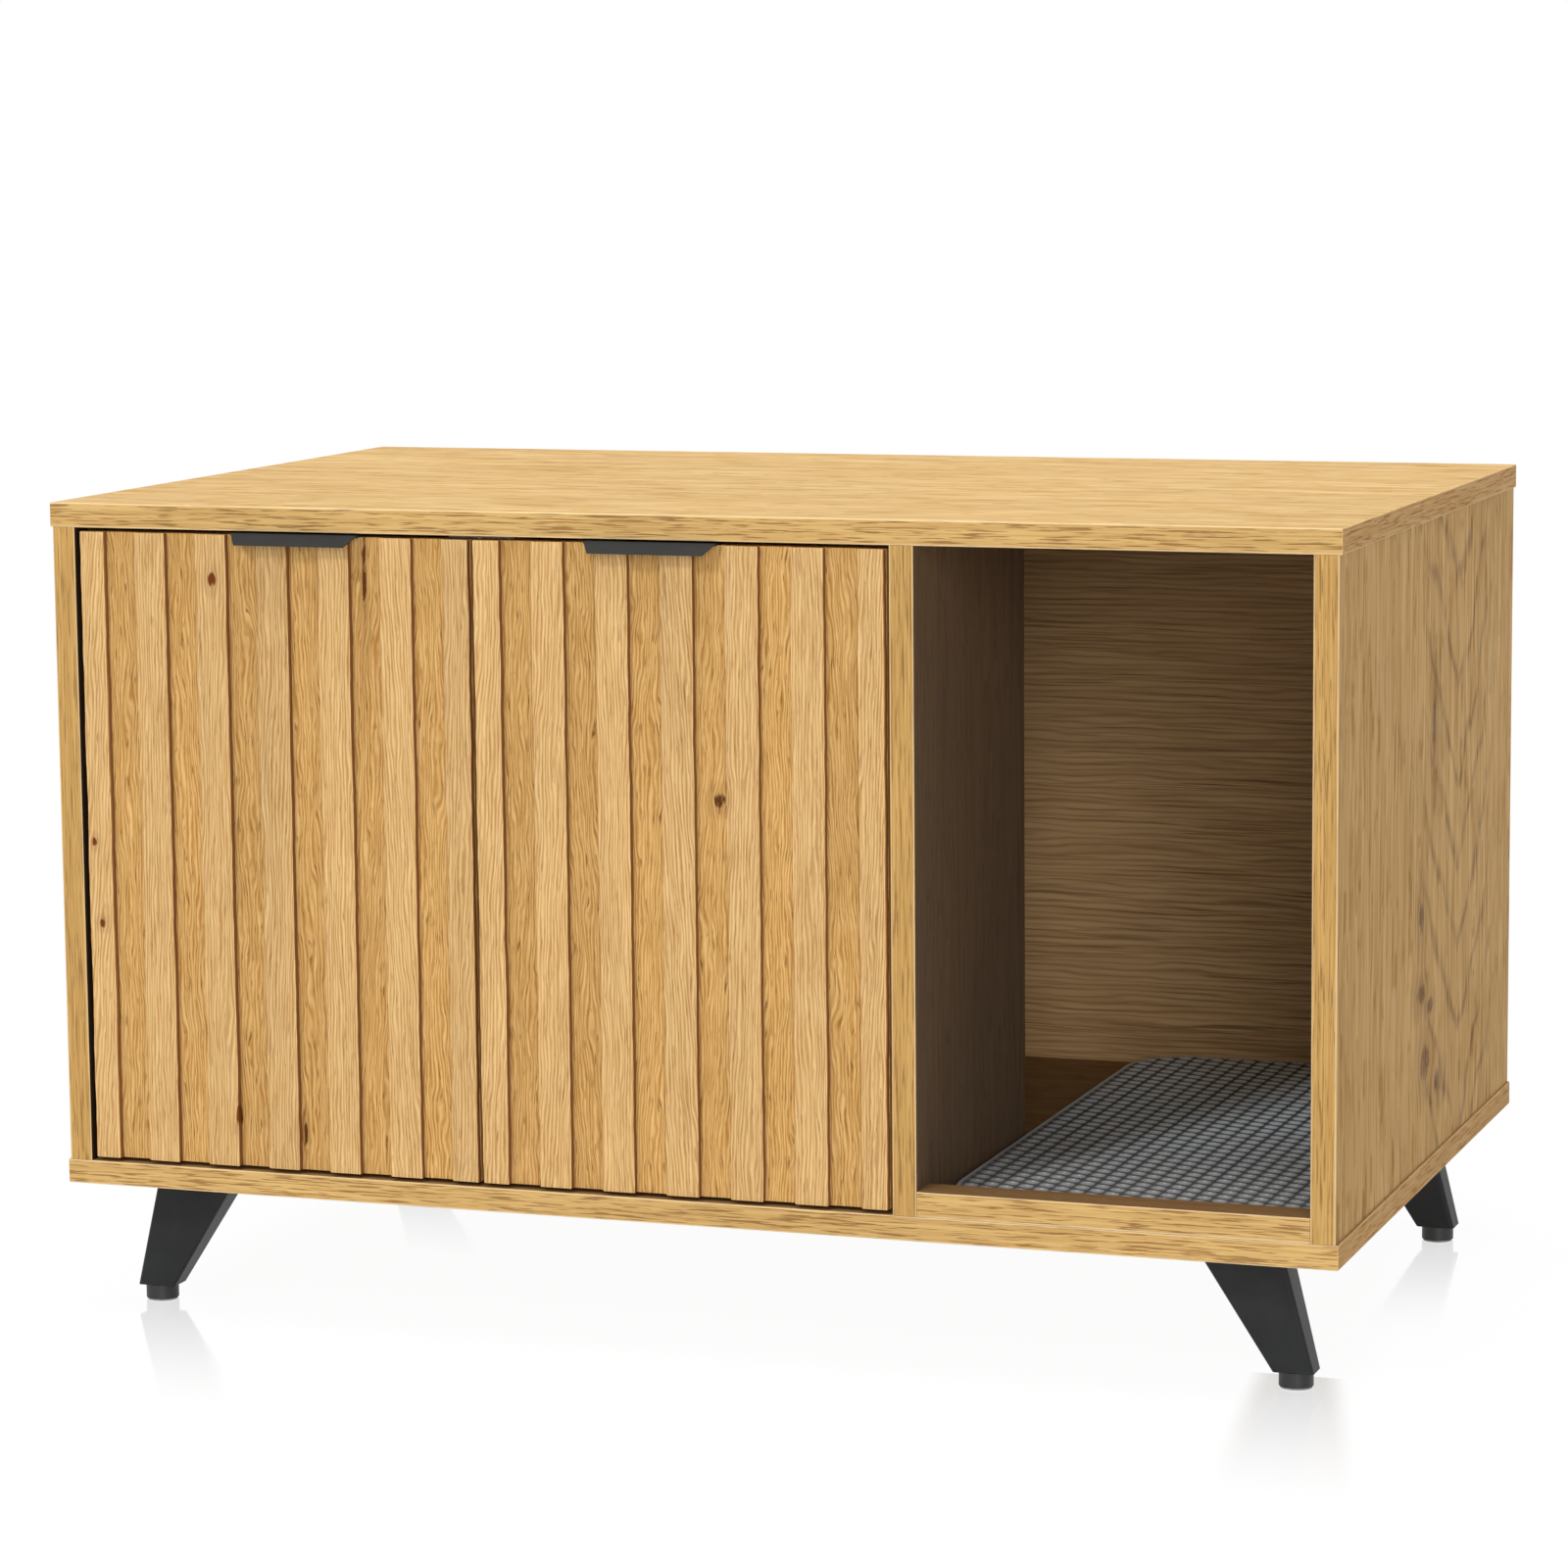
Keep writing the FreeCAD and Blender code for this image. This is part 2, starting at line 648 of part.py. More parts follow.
class Door:
    """One door: its core, slats, handle, hinge parts and strike plate.

    Places across the door are measured inwards from its hinged edge.
    """

    def __init__(self, name, low_x):
        self.name = name
        self.low_x = low_x
        self.hinged_left = name == "left"

    def across(self, distance):
        """The X of a point that lies a distance in from the hinged edge."""
        if self.hinged_left:
            return f"({self.low_x} + ({distance}))"
        return f"({self.low_x} + door_width - ({distance}))"

    def local(self, distance):
        """The same, from the door's own low corner."""
        return f"({self.across(distance)} - {self.low_x})"

    def low(self, start, width):
        """The low X of a piece that starts a distance in and has a width."""
        if self.hinged_left:
            return self.across(start)
        return self.across(f"{start} + ({width})")

    def make_core(self):
        """The flat board behind the slats, bored from its back."""
        blank = Blank(f"{self.name}_door_core", (self.low_x, f"{FRONT} + slat_depth", DOOR_Z))
        blank.pad("top", "0 * board", DOOR_HEIGHT,
                  rectangle("0 * board", "0 * board", "door_width", "core_thickness"))

        def bore(depth, circles):
            blank.pocket("front", f"core_thickness - ({depth})", depth, circles=circles)

        bore("cup_depth + cup_play",
             [(self.local(CUP_BACK), f"{height} - {DOOR_Z}", "cup_radius")
              for height in HINGE_HEIGHTS.values()])
        screw = "screw_radius + screw_play"
        bore("screw_length - rim_sheet + screw_play",
             [(self.local(x), f"{height} - {DOOR_Z}", screw) for x, height in self.cup_screws()])
        bore("screw_length - handle_sheet + screw_play",
             [(self.local(x), f"{height} - {DOOR_Z}", screw)
              for x, height in self.handle_screws()])
        bore("strike_peg_length + fitting_play",
             [(self.local("door_width - strike_inset"), f"{DOOR_HEIGHT} - strike_drop",
               "strike_peg_radius + fitting_play")])

    def make_slats(self):
        """The raised slats; the slots between them share the width that they leave.

        The slat at the hinges is rounded more, so that it clears the board beside it.
        """
        hinged = 0 if self.hinged_left else SLATS - 1
        for number in range(SLATS):
            outer = number in (0, SLATS - 1)
            width = "edge_slat_width" if outer else "slat_width"
            start = "0 * board"
            if number:
                start = f"edge_slat_width + {number} * {SLOT} + {number - 1} * slat_width"
            blank = Blank(f"{self.name}_door_slat_{number + 1}",
                          (f"{self.low_x} + {start}", FRONT, DOOR_Z))
            blank.pad("top", "0 * board", DOOR_HEIGHT,
                      rectangle("0 * board", "0 * board", width, "slat_depth"))
            rounding = "hinge_slat_round" if number == hinged else "slat_round"
            blank.round_edges(rounding, edges_at("Y", "0 * board"))

    def handle_screws(self):
        """Where the two handle screws stand, across and up."""
        height = f"({DOOR_Z} + {DOOR_HEIGHT} + handle_sheet - handle_screw_drop)"
        return [(f"door_width / 2 + handle_offset {sign} handle_screw_spread", height)
                for sign in "+-"]

    def make_handle(self):
        """The edge pull: a sheet folded over the door's top edge, its lip flaring forwards."""
        low_x = self.low("door_width / 2 + handle_offset - handle_length / 2", "handle_length")
        low_z = f"{DOOR_Z} + {DOOR_HEIGHT} - handle_drop"
        blank = Blank(f"{self.name}_handle", (low_x, f"{FRONT} - handle_reach", low_z))
        top = "(handle_drop + handle_sheet)"
        bend = "(handle_reach - lip_setback)"
        foot = "(handle_sheet * lip_stretch)"
        lip = [("0 * board", "0 * board"), (foot, "0 * board"), (f"{bend} + {foot}", top), (bend, top)]
        blank.pad("side", "0 * board", "handle_length", lip)
        back = f"(handle_reach + {DOOR_THICKNESS})"
        blank.pad("top", "handle_drop", "handle_sheet",
                  rectangle("0 * board", bend, "handle_length", f"{back} + handle_sheet"))
        blank.pad("front", back, "handle_sheet",
                  rectangle("0 * board", f"{top} - handle_back_drop", "handle_length", top))
        blank.round_edges("handle_bend", lambda edge: on_bend(edge, bend, top))
        left_end = [("0 * board", "0 * board"), ("handle_slant", "0 * board"), ("0 * board", top)]
        right_end = [("handle_length - handle_slant", "0 * board"), ("handle_length", "0 * board"),
                     ("handle_length", top)]
        blank.pocket("front", "0 * board", bend, outlines=[left_end, right_end])
        holes = [(f"{self.across(x)} - ({low_x})", f"{height} - ({low_z})",
                  "screw_radius + screw_play") for x, height in self.handle_screws()]
        blank.pocket("front", back, "handle_sheet", circles=holes)

    def cup_screws(self):
        """Where the four cup screws stand, across and up."""
        return [(f"{CUP_BACK} + wing_offset", f"({height} {sign} wing_screw_spread)")
                for height in HINGE_HEIGHTS.values() for sign in "+-"]

    def make_cup(self, level):
        """The pressed cup of one hinge, sunk in the door's back, with its rim and wings."""
        height = HINGE_HEIGHTS[level]
        x = self.across(CUP_BACK)
        floor_y = f"({DOOR_BACK_Y} - cup_depth)"
        shell = cylinder((x, floor_y, height), "cup_radius - cup_play", "cup_depth", "y")
        rim = cylinder((x, DOOR_BACK_Y, height), "cup_radius + rim_overlap", "rim_sheet", "y")
        wing_low = self.low(f"{CUP_BACK} + wing_offset - wing_half_width", "2 * wing_half_width")
        wings = box((wing_low, DOOR_BACK_Y, f"{height} - wing_half_height"),
                    ("2 * wing_half_width", "rim_sheet", "2 * wing_half_height"))
        hollow = cylinder((x, f"{floor_y} + cup_floor", height),
                          "cup_radius - cup_play - cup_wall", "cup_depth + rim_sheet", "y")
        pin_hole = cylinder((self.across("pin_inset"), PIN_Y, f"{height} - cup_radius"),
                            "pin_radius + pin_seat_play", "2 * cup_radius")
        holes = [cylinder((self.across(f"{CUP_BACK} + wing_offset"), DOOR_BACK_Y,
                           f"{height} {sign} wing_screw_spread"),
                          "screw_radius + screw_play", "rim_sheet", "y") for sign in "+-"]
        cup = cut(fuse([shell, rim, wings]), [hollow, pin_hole] + holes)
        keep(cup, f"{self.name}_{level}_hinge_cup")

    def make_pins(self):
        """The pins that turn in the eyes of the two hinge arms."""
        pins = [cylinder((self.across("pin_inset"), PIN_Y, f"{height} - pin_half_length"),
                         "pin_radius", "2 * pin_half_length")
                for height in HINGE_HEIGHTS.values()]
        keep(group(pins), f"{self.name}_hinge_pins")

    def make_screws(self):
        """The screws of the hinge cups and of the handle."""
        screws = [screw_along_y(self.across(x), f"({DOOR_BACK_Y} + rim_sheet)", height)
                  for x, height in self.cup_screws()]
        screws += [screw_along_y(self.across(x), f"({DOOR_BACK_Y} + handle_sheet)", height)
                   for x, height in self.handle_screws()]
        keep(group(screws), f"{self.name}_door_screws")

    def make_strike(self):
        """The round plate that the magnet holds, on a peg in the door's back."""
        x = self.across("door_width - strike_inset")
        z = f"{DOOR_Z} + {DOOR_HEIGHT} - strike_drop"
        disc = cylinder((x, DOOR_BACK_Y, z), "strike_radius", "strike_thickness", "y")
        peg = cylinder((x, f"{DOOR_BACK_Y} - strike_peg_length", z), "strike_peg_radius",
                       "strike_peg_length + strike_thickness / 2", "y")
        keep(fuse([disc, peg]), f"{self.name}_strike_plate")

    def make_arm(self, level):
        """The cranked arm of one hinge: eye, neck, leg, cross piece and channel."""
        height = HINGE_HEIGHTS[level]
        wall = "(0 - door_gap)"
        tall = "2 * arm_half_height"
        low_z = f"{height} - arm_half_height"
        outside = "(arm_reach + arm_sheet)"

        def bar(start, width, y, length):
            """A flat stretch of the arm, from a distance in and a depth behind the pin."""
            return box((self.low(start, width), f"{PIN_Y} + ({y})", low_z), (width, length, tall))

        eye = cylinder((self.across("pin_inset"), PIN_Y, low_z), "eye_radius", tall)
        neck = bar("pin_inset", outside, "0 - arm_sheet / 2", "arm_sheet")
        leg = bar("pin_inset + arm_reach", "arm_sheet", "0 - arm_sheet / 2",
                  "arm_return + arm_sheet * 3 / 2")
        plate_top = f"({wall} + plate_thickness)"
        cross = bar(plate_top, f"pin_inset + {outside} - {plate_top}", "arm_return", "arm_sheet")
        channel = bar(plate_top, "channel_rise", "arm_return", "channel_length")
        bore = cylinder((self.across("pin_inset"), PIN_Y, f"{low_z} - arm_sheet"),
                        "pin_radius + pin_play", f"{tall} + 2 * arm_sheet")
        keep(cut(fuse([eye, neck, leg, cross, channel]), [bore]),
             f"{self.name}_{level}_hinge_arm")

    def make_mounting_plate(self, height):
        """The plate that carries an arm on the wall beside the door."""
        start = "(0 - door_gap)"
        y = f"{PIN_Y} + arm_return"
        plate = box((self.low(start, "plate_thickness"), y, f"{height} - plate_half_height"),
                    ("plate_thickness", "channel_length", "2 * plate_half_height"))
        holes = [cylinder((self.low(start, "plate_thickness"), f"{FRONT} + plate_screw_setback",
                           f"{height} {sign} plate_screw_spread"),
                          "screw_radius + screw_play", "plate_thickness", "x") for sign in "+-"]
        return cut(plate, holes)

    def plate_screws(self):
        """The screws of this door's two mounting plates."""
        seat = "(plate_thickness - door_gap)"
        screws = []
        for height in plate_screw_heights():
            y = f"{FRONT} + plate_screw_setback"
            head = cylinder((self.low(seat, "head_thickness"), y, height), "screw_head",
                            "head_thickness", "x")
            reach = "(screw_length + head_thickness / 2)"
            shank = cylinder((self.low(f"{seat} - screw_length", reach), y, height),
                             "screw_radius", reach, "x")
            screws.append(fuse([head, shank]))
        return screws


def on_bend(edge, bend, top):
    """Pick the outer edge where the lip meets the top of a handle."""
    bounds = edge.BoundBox
    return abs(bounds.Center.y - value(bend)) < 0.01 and bounds.ZMin > value(top) - 0.01


def screw_along_y(x, seat_y, height):
    """A pan-head screw driven into the door's back, its head on a seat."""
    head = cylinder((x, seat_y, height), "screw_head", "head_thickness", "y")
    shank = cylinder((x, f"{seat_y} - screw_length", height), "screw_radius",
                     "screw_length + head_thickness / 2", "y")
    return fuse([head, shank])


def make_doors():
    """Both doors with all that they carry, and the hinge parts on the carcass."""
    left = Door("left", f"({BAY_X} + door_gap)")
    right = Door("right", f"({BAY_X} + 2 * door_gap + door_width)")
    plates = []
    screws = []
    for door in (left, right):
        door.make_core()
        door.make_slats()
        door.make_handle()
        door.make_pins()
        door.make_screws()
        door.make_strike()
        for level, height in HINGE_HEIGHTS.items():
            door.make_cup(level)
            door.make_arm(level)
            plates.append(door.make_mounting_plate(height))
        screws += door.plate_screws()
    keep(group(plates), "hinge_mounting_plates")
    keep(group(screws), "hinge_plate_screws")


# ---------------------------------------------------------------- catch, dowels and cams

CATCH_Y = f"({DOOR_BACK_Y} + strike_thickness + catch_gap)"
CATCH_X = f"({BAY_X} + door_gap * 3 / 2 + door_width)"


def catch_pegs():
    """The X of the two pegs of the magnetic catch."""
    return [f"({CATCH_X} {sign} catch_peg_spread)" for sign in "+-"]


def make_catch():
    """The double magnetic catch, pressed up into the top board behind both doors."""
    block = box((f"{CATCH_X} - catch_half_width", CATCH_Y, f"{TOP_Z} - catch_height"),
                ("2 * catch_half_width", "catch_depth", "catch_height"))
    pegs = [cylinder((x, f"{CATCH_Y} + catch_depth / 2", f"{TOP_Z} - catch_peg_length"),
                     "catch_peg_radius", "2 * catch_peg_length") for x in catch_pegs()]
    keep(fuse([block] + pegs), "magnetic_catch")


def wall_joints(inset):
    """Every place where a fitting joins a wall's end to a panel."""
    for low_x, depth, face in WALLS.values():
        for row in rows(depth, inset):
            for end in ENDS:
                yield low_x, f"({FRONT} + {row})", end, face


def make_dowels():
    """The dowels in the ends of the walls and of the threshold rail."""
    dowels = []
    for low_x, y, end, _face in wall_joints("dowel_inset"):
        start = f"{WALL_Z} - dowel_bite" if end == "low" else \
            f"{TOP_Z} + dowel_bite - dowel_length"
        dowels.append(cylinder((f"{low_x} + board / 2", y, start), "dowel_radius",
                               "dowel_length"))
    for x in (f"{ENTRY_X} - dowel_bite", f"{RIGHT_X} + dowel_bite - dowel_length"):
        dowels.append(cylinder((x, f"{FRONT} + rail_depth / 2", f"{WALL_Z} + rail_height / 2"),
                               "dowel_radius", "dowel_length", "x"))
    keep(group(dowels), "dowels")


def make_cams():
    """The cam locks in the walls and the bolts that they draw down."""
    cams = []
    bolts = []
    for low_x, y, end, face in wall_joints("cam_inset"):
        middle = f"{low_x} + board / 2"
        high = end == "high"
        height = f"({TOP_Z} - cam_setback)" if high else f"({WALL_Z} + cam_setback)"
        bolt_start = height if high else f"{WALL_Z} - bolt_bite"
        bolts.append(cylinder((middle, y, bolt_start), "bolt_radius",
                              "bolt_bite + cam_setback"))
        start = f"{low_x} + board - cam_depth" if face == "high" else low_x
        cam = cylinder((start, y, height), "cam_radius - fitting_play", "cam_depth", "x")
        slot_start = f"{height} - bolt_play" if high else f"{height} - cam_radius - bolt_play"
        slot = cylinder((middle, y, slot_start), "bolt_radius + bolt_play",
                        "cam_radius + 2 * bolt_play")
        cams.append(cut(cam, [slot]))
    keep(group(cams), "cam_locks")
    keep(group(bolts), "cam_bolts")


# ---------------------------------------------------------------- build, check and write

def check():
    """Stop if any object failed or any sub-part is empty or broken."""
    for thing in DOC.Objects:
        if "Invalid" in thing.State or "Error" in thing.State:
            raise RuntimeError(f"{thing.Name} {thing.Label} failed: {thing.State}")
    for piece in PIECES:
        if piece.Shape.isNull() or not piece.Shape.isValid() or not piece.Shape.Solids:
            raise RuntimeError(f"{piece.Label} has no valid shape")


def write():
    """Write each sub-part to a file with its own name."""
    os.makedirs("parts", exist_ok=True)
    for piece in PIECES:
        piece.Shape.exportStep(f"parts/{piece.Label}.step")
    print(f"{len(PIECES)} sub-parts, {sum(len(piece.Shape.Solids) for piece in PIECES)} solids")


make_sheet()
make_top_panel()
make_bottom_panel()
make_walls()
make_back_panel()
make_rail()
make_mat()
make_legs()
make_doors()
make_catch()
make_dowels()
make_cams()
DOC.recompute()
check()
write()
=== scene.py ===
"""Looks of a cat litter box cabinet: oak boards, ribbed doors, black handles and legs, a woven mat.

Every length is in metres, in the cabinet's own frame: +X is its right, -Y its front and +Z up.
"""

import logging
import math
from dataclasses import dataclass, field
from enum import Enum
from typing import Any, Callable, Iterable, Optional, Union

import bmesh
import bpy
from mathutils import Matrix, Vector, noise


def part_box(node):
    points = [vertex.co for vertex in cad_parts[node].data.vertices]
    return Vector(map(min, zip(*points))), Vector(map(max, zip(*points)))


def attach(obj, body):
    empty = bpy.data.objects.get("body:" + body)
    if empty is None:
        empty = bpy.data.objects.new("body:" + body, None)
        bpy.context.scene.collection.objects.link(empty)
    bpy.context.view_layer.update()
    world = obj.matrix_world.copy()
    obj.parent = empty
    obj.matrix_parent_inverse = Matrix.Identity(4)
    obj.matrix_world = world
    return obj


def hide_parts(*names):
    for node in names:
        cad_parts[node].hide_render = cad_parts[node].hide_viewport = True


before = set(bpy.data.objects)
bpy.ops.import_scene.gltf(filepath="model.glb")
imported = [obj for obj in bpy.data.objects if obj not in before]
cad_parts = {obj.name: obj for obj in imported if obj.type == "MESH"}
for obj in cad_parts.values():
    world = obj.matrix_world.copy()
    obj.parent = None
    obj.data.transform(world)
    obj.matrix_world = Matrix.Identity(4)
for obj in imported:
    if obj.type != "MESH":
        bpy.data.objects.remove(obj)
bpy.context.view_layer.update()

log = logging.getLogger("cabinet")

Colour = tuple[float, float, float, float]
Sizes = tuple[float, float, float]
Socket = bpy.types.NodeSocket
Material = bpy.types.Material
Mesh = bmesh.types.BMesh
WHITE = (1.0, 1.0, 1.0, 1.0)
MILLIMETRE = 0.001
# Places closer than this count as one.
TOUCHING = 1e-6
# Least part of a normal along an axis that its face looks along.
LOOKING = 0.7
SENSOR_WIDTH = 36.0


class Axis(Enum):
    """Axis of the cabinet's frame."""

    X = 0
    Y = 1
    Z = 2


class Side(Enum):
    """Side of the cabinet, seen from its front."""

    LEFT = "left"
    RIGHT = "right"


class End(Enum):
    """Front or back end of the cabinet."""

    FRONT = "front"
    BACK = "back"


class Layer(Enum):
    """Layer of a wood figure. Its value moves its noise away from the others'."""

    WANDER = 0.0
    WOBBLE = 1.7
    RAGGED = 2.2
    JITTER = 3.1
    PATCHES = 4.4
    STROKES = 5.3
    LOOSE = 7.7
    CLOUD = 9.1


def paint(code: str) -> Colour:
    """Turn a colour code into the linear values that a shader takes.

    Args:
        code: Six hexadecimal digits, such as "DDB97E".

    Returns:
        Red, green, blue and an alpha of 1.
    """
    parts = [int(code[place:place + 2], 16) / 255 for place in (0, 2, 4)]
    linear = [part / 12.92 if part <= 0.04045 else ((part + 0.055) / 1.055) ** 2.4 for part in parts]
    return (linear[0], linear[1], linear[2], 1.0)


# ---- Shader arithmetic ----


def _maths(operation: str, swapped: bool = False) -> Callable[..., "Value"]:
    """Return a method that adds a Math node on a value and other numbers, which come first if swapped."""

    def method(self: "Value", *others: "Number") -> "Value":
        """Add the node."""
        return self.shader.maths(operation, *((*others, self) if swapped else (self, *others)))

    return method


class Value:
    """A number that varies over a surface. Arithmetic on it adds Math nodes to its shader."""

    def __init__(self, shader: "Shader", socket: Socket) -> None:
        """Hold a socket and the shader that it belongs to."""
        self.shader = shader
        self.socket = socket

    __add__ = __radd__ = _maths("ADD")
    __sub__ = _maths("SUBTRACT")
    __rsub__ = _maths("SUBTRACT", swapped=True)
    __mul__ = __rmul__ = _maths("MULTIPLY")
    __truediv__ = _maths("DIVIDE")
    __pow__ = _maths("POWER")
    # 1 where the value is above the other, else 0.
    __gt__ = _maths("GREATER_THAN")
    floor = _maths("FLOOR")
    fraction = _maths("FRACT")
    size = _maths("ABSOLUTE")
    sine = _maths("SINE")
    most = _maths("MAXIMUM")

    def rise(self, low: float, high: float) -> "Value":
        """Return 0 below low and 1 above high, with a smooth step between them."""
        settings = {"interpolation_type": "SMOOTHSTEP"}
        inputs = {"Value": self, "From Min": low, "From Max": high}
        return Value(self.shader, self.shader.node("ShaderNodeMapRange", settings, inputs).outputs[0])

    def blend(self, start: "Number", end: "Number") -> "Value":
        """Return start where this value is 0 and end where it is 1."""
        return start + self * (end - start)


Number = Union[Value, float]
Place = tuple[Value, Value, Value]
Paint = Union[Colour, Socket]


class Shader:
    """The node tree of one material or of the world, built with plain calls."""

    def __init__(self, name: str, owner: Optional[Any] = None) -> None:
        """Start an empty node tree.

        Args:
            name: Name of the material.
            owner: What has the tree, or None for a new material.
        """
        self.owner = owner or bpy.data.materials.new(name)
        self.owner.use_nodes = True
        self.tree = self.owner.node_tree
        self.tree.nodes.clear()

    def node(self, kind: str, settings: dict[str, Any], inputs: dict[Any, Any]) -> bpy.types.Node:
        """Add one node.

        Args:
            kind: Blender's name for the node type.
            settings: Its properties, set first.
            inputs: What each socket takes, by name or number: a number, a colour, a value or a link.

        Returns:
            The new node.
        """
        made = self.tree.nodes.new(kind)
        for name, setting in settings.items():
            setattr(made, name, setting)
        for name, given in inputs.items():
            source = given.socket if isinstance(given, Value) else given
            if isinstance(source, Socket):
                self.tree.links.new(source, made.inputs[name])
            else:
                made.inputs[name].default_value = source
        return made

    def maths(self, operation: str, *operands: Number) -> Value:
        """Add a Math node for one operation on one or two numbers."""
        made = self.node("ShaderNodeMath", {"operation": operation}, dict(enumerate(operands)))
        return Value(self, made.outputs[0])

    def vector(self, x: Number, y: Number, z: Number) -> Socket:
        """Join three numbers into a vector."""
        return self.node("ShaderNodeCombineXYZ", {}, {0: x, 1: y, 2: z}).outputs[0]

    def split(self, vector: Socket) -> tuple[Value, Value, Value]:
        """Take a vector apart."""
        outputs = self.node("ShaderNodeSeparateXYZ", {}, {0: vector}).outputs
        return Value(self, outputs[0]), Value(self, outputs[1]), Value(self, outputs[2])

    def position(self) -> tuple[Value, Value, Value]:
        """Return the place on the piece, in metres."""
        return self.split(self.node("ShaderNodeTexCoord", {}, {}).outputs["Object"])

    def facing(self) -> tuple[Value, Value, Value]:
        """Return the way that the surface faces, in the piece's own axes."""
        return self.split(self.node("ShaderNodeTexCoord", {}, {}).outputs["Normal"])

    def attribute(self, name: str) -> Value:
        """Return a number that the mesh holds at its points."""
        return Value(self, self.node("ShaderNodeAttribute", {"attribute_name": name}, {}).outputs["Fac"])

    def noise(self, vector: Socket, scale: float, detail: float) -> Value:
        """Add a cloud of noise with values around a half.

        Args:
            vector: The place that is looked up.
            scale: How many cells a metre has.
            detail: How many finer layers lie on the first, each half as strong as the one before.

        Returns:
            The noise, from 0 to 1.
        """
        inputs = {"Vector": vector, "Scale": scale, "Detail": detail, "Roughness": 0.5}
        return Value(self, self.node("ShaderNodeTexNoise", {}, inputs).outputs[0])

    def chance(self, number: Value, seed: float) -> Value:
        """Return a fixed random number from 0 to 1 for each whole number."""
        made = self.node("ShaderNodeTexWhiteNoise", {"noise_dimensions": "1D"}, {"W": number + seed})
        return Value(self, made.outputs["Value"])

    def mix(self, share: Number, first: Paint, second: Paint) -> Socket:
        """Blend two colours: the first at a share of 0, the second at 1."""
        settings = {"data_type": "RGBA", "clamp_factor": True}
        return self.node("ShaderNodeMix", settings, {0: share, 6: first, 7: second}).outputs[2]

    def dim(self, colour: Socket, strength: Number) -> Socket:
        """Make a colour lighter or darker by a factor."""
        made = self.node("ShaderNodeVectorMath", {"operation": "SCALE"}, {0: colour, "Scale": strength})
        return made.outputs[0]

    def cover(self, share: Value, first: bpy.types.Node, second: bpy.types.Node) -> bpy.types.Node:
        """Blend two whole surfaces: the first at a share of 0, the second at 1."""
        return self.node("ShaderNodeMixShader", {}, {0: share, 1: first.outputs[0], 2: second.outputs[0]})

    def bump(self, height: Value, depth: float) -> Socket:
        """Turn a height from 0 to 1 into a normal, where 1 stands depth metres proud."""
        made = self.node("ShaderNodeBump", {}, {"Strength": 1.0, "Distance": depth, "Height": height})
        return made.outputs[0]

    def surface(self, **sockets: Any) -> Material:
        """End the material with one surface shader.

        Args:
            sockets: Inputs of the surface, their names with _ for a space.

        Returns:
            The finished material.
        """
        inputs = {name.replace("_", " "): given for name, given in sockets.items()}
        made = self.node("ShaderNodeBsdfPrincipled", {}, inputs)
        self.node("ShaderNodeOutputMaterial", {}, {"Surface": made.outputs[0]})
        return self.owner


# ---- Finishes ----


@dataclass(frozen=True)
class Grain:
    """Sizes of a wood figure, in metres, and how strongly it shows.

    Attributes:
        pitch: Distance of the fine lines on the broad face.
        layer: Their distance on the edges of the board.
        order: How evenly the lines are spaced, from 0 to 1.
        fine: How thin they are, 1 for as wide as the gaps between them.
        depth: How strongly the lines show, from 0 to 1.
        sway: How far the lines wander sideways.
        bend: Length over which they wander.
        stroke: Size of the short dark strokes across, through and along the board.
        strokes: How strongly the strokes show, from 0 to 1.
        calm: How much weaker they are on the broad face, from 0 to 1.
        rarity: How few strokes there are, from 0 to 1.
        relief: Height of the grain.
    """

    pitch: float = 0.0018
    layer: float = 0.0018
    order: float = 0.6
    fine: float = 1.0
    depth: float = 0.8
    sway: float = 0.008
    bend: float = 0.09
    stroke: Sizes = (0.0009, 0.0009, 0.016)
    strokes: float = 0.5
    calm: float = 0.0
    rarity: float = 0.60
    relief: float = 0.00010


@dataclass(frozen=True)
class Arches:
    """Pointed arches of growth rings on the broad face.

    Attributes:
        middle: Place of their tips across the board.
        tip: Place of one tip along the board.
        pitch: Distance from tip to tip.
        steep: Slope of the flanks, below 0 where the tips point the other way.
        blunt: How round the tips are.
        reach: How far the flanks go to each side.
        strength: How strongly they show, from 0 to 1.
    """

    middle: float
    tip: float = 0.0
    pitch: float = 0.05
    steep: float = 1.1
    blunt: float = 0.008
    reach: float = 0.15
    strength: float = 0.6


@dataclass(frozen=True)
class Knot:
    """A knot or a crack in a board's face: its place across and along, its half width and half length."""

    across: float
    along: float
    width: float = 0.003
    length: float = 0.005


@dataclass(frozen=True)
class Strips:
    """Strips of different wood side by side.

    Attributes:
        start: Where the first begins.
        pitch: Distance from one to the next.
        tilt: How much their grain differs in slope.
        step: How far across the tree the next one is cut.
        slide: How far along the tree they are cut, at most.
        tones: Tone of the darkest, and how much lighter the lightest is.
    """

    start: float
    pitch: float
    tilt: float = 0.12
    step: float = 0.37
    slide: float = 7.0
    tones: tuple[float, float] = (0.92, 0.16)


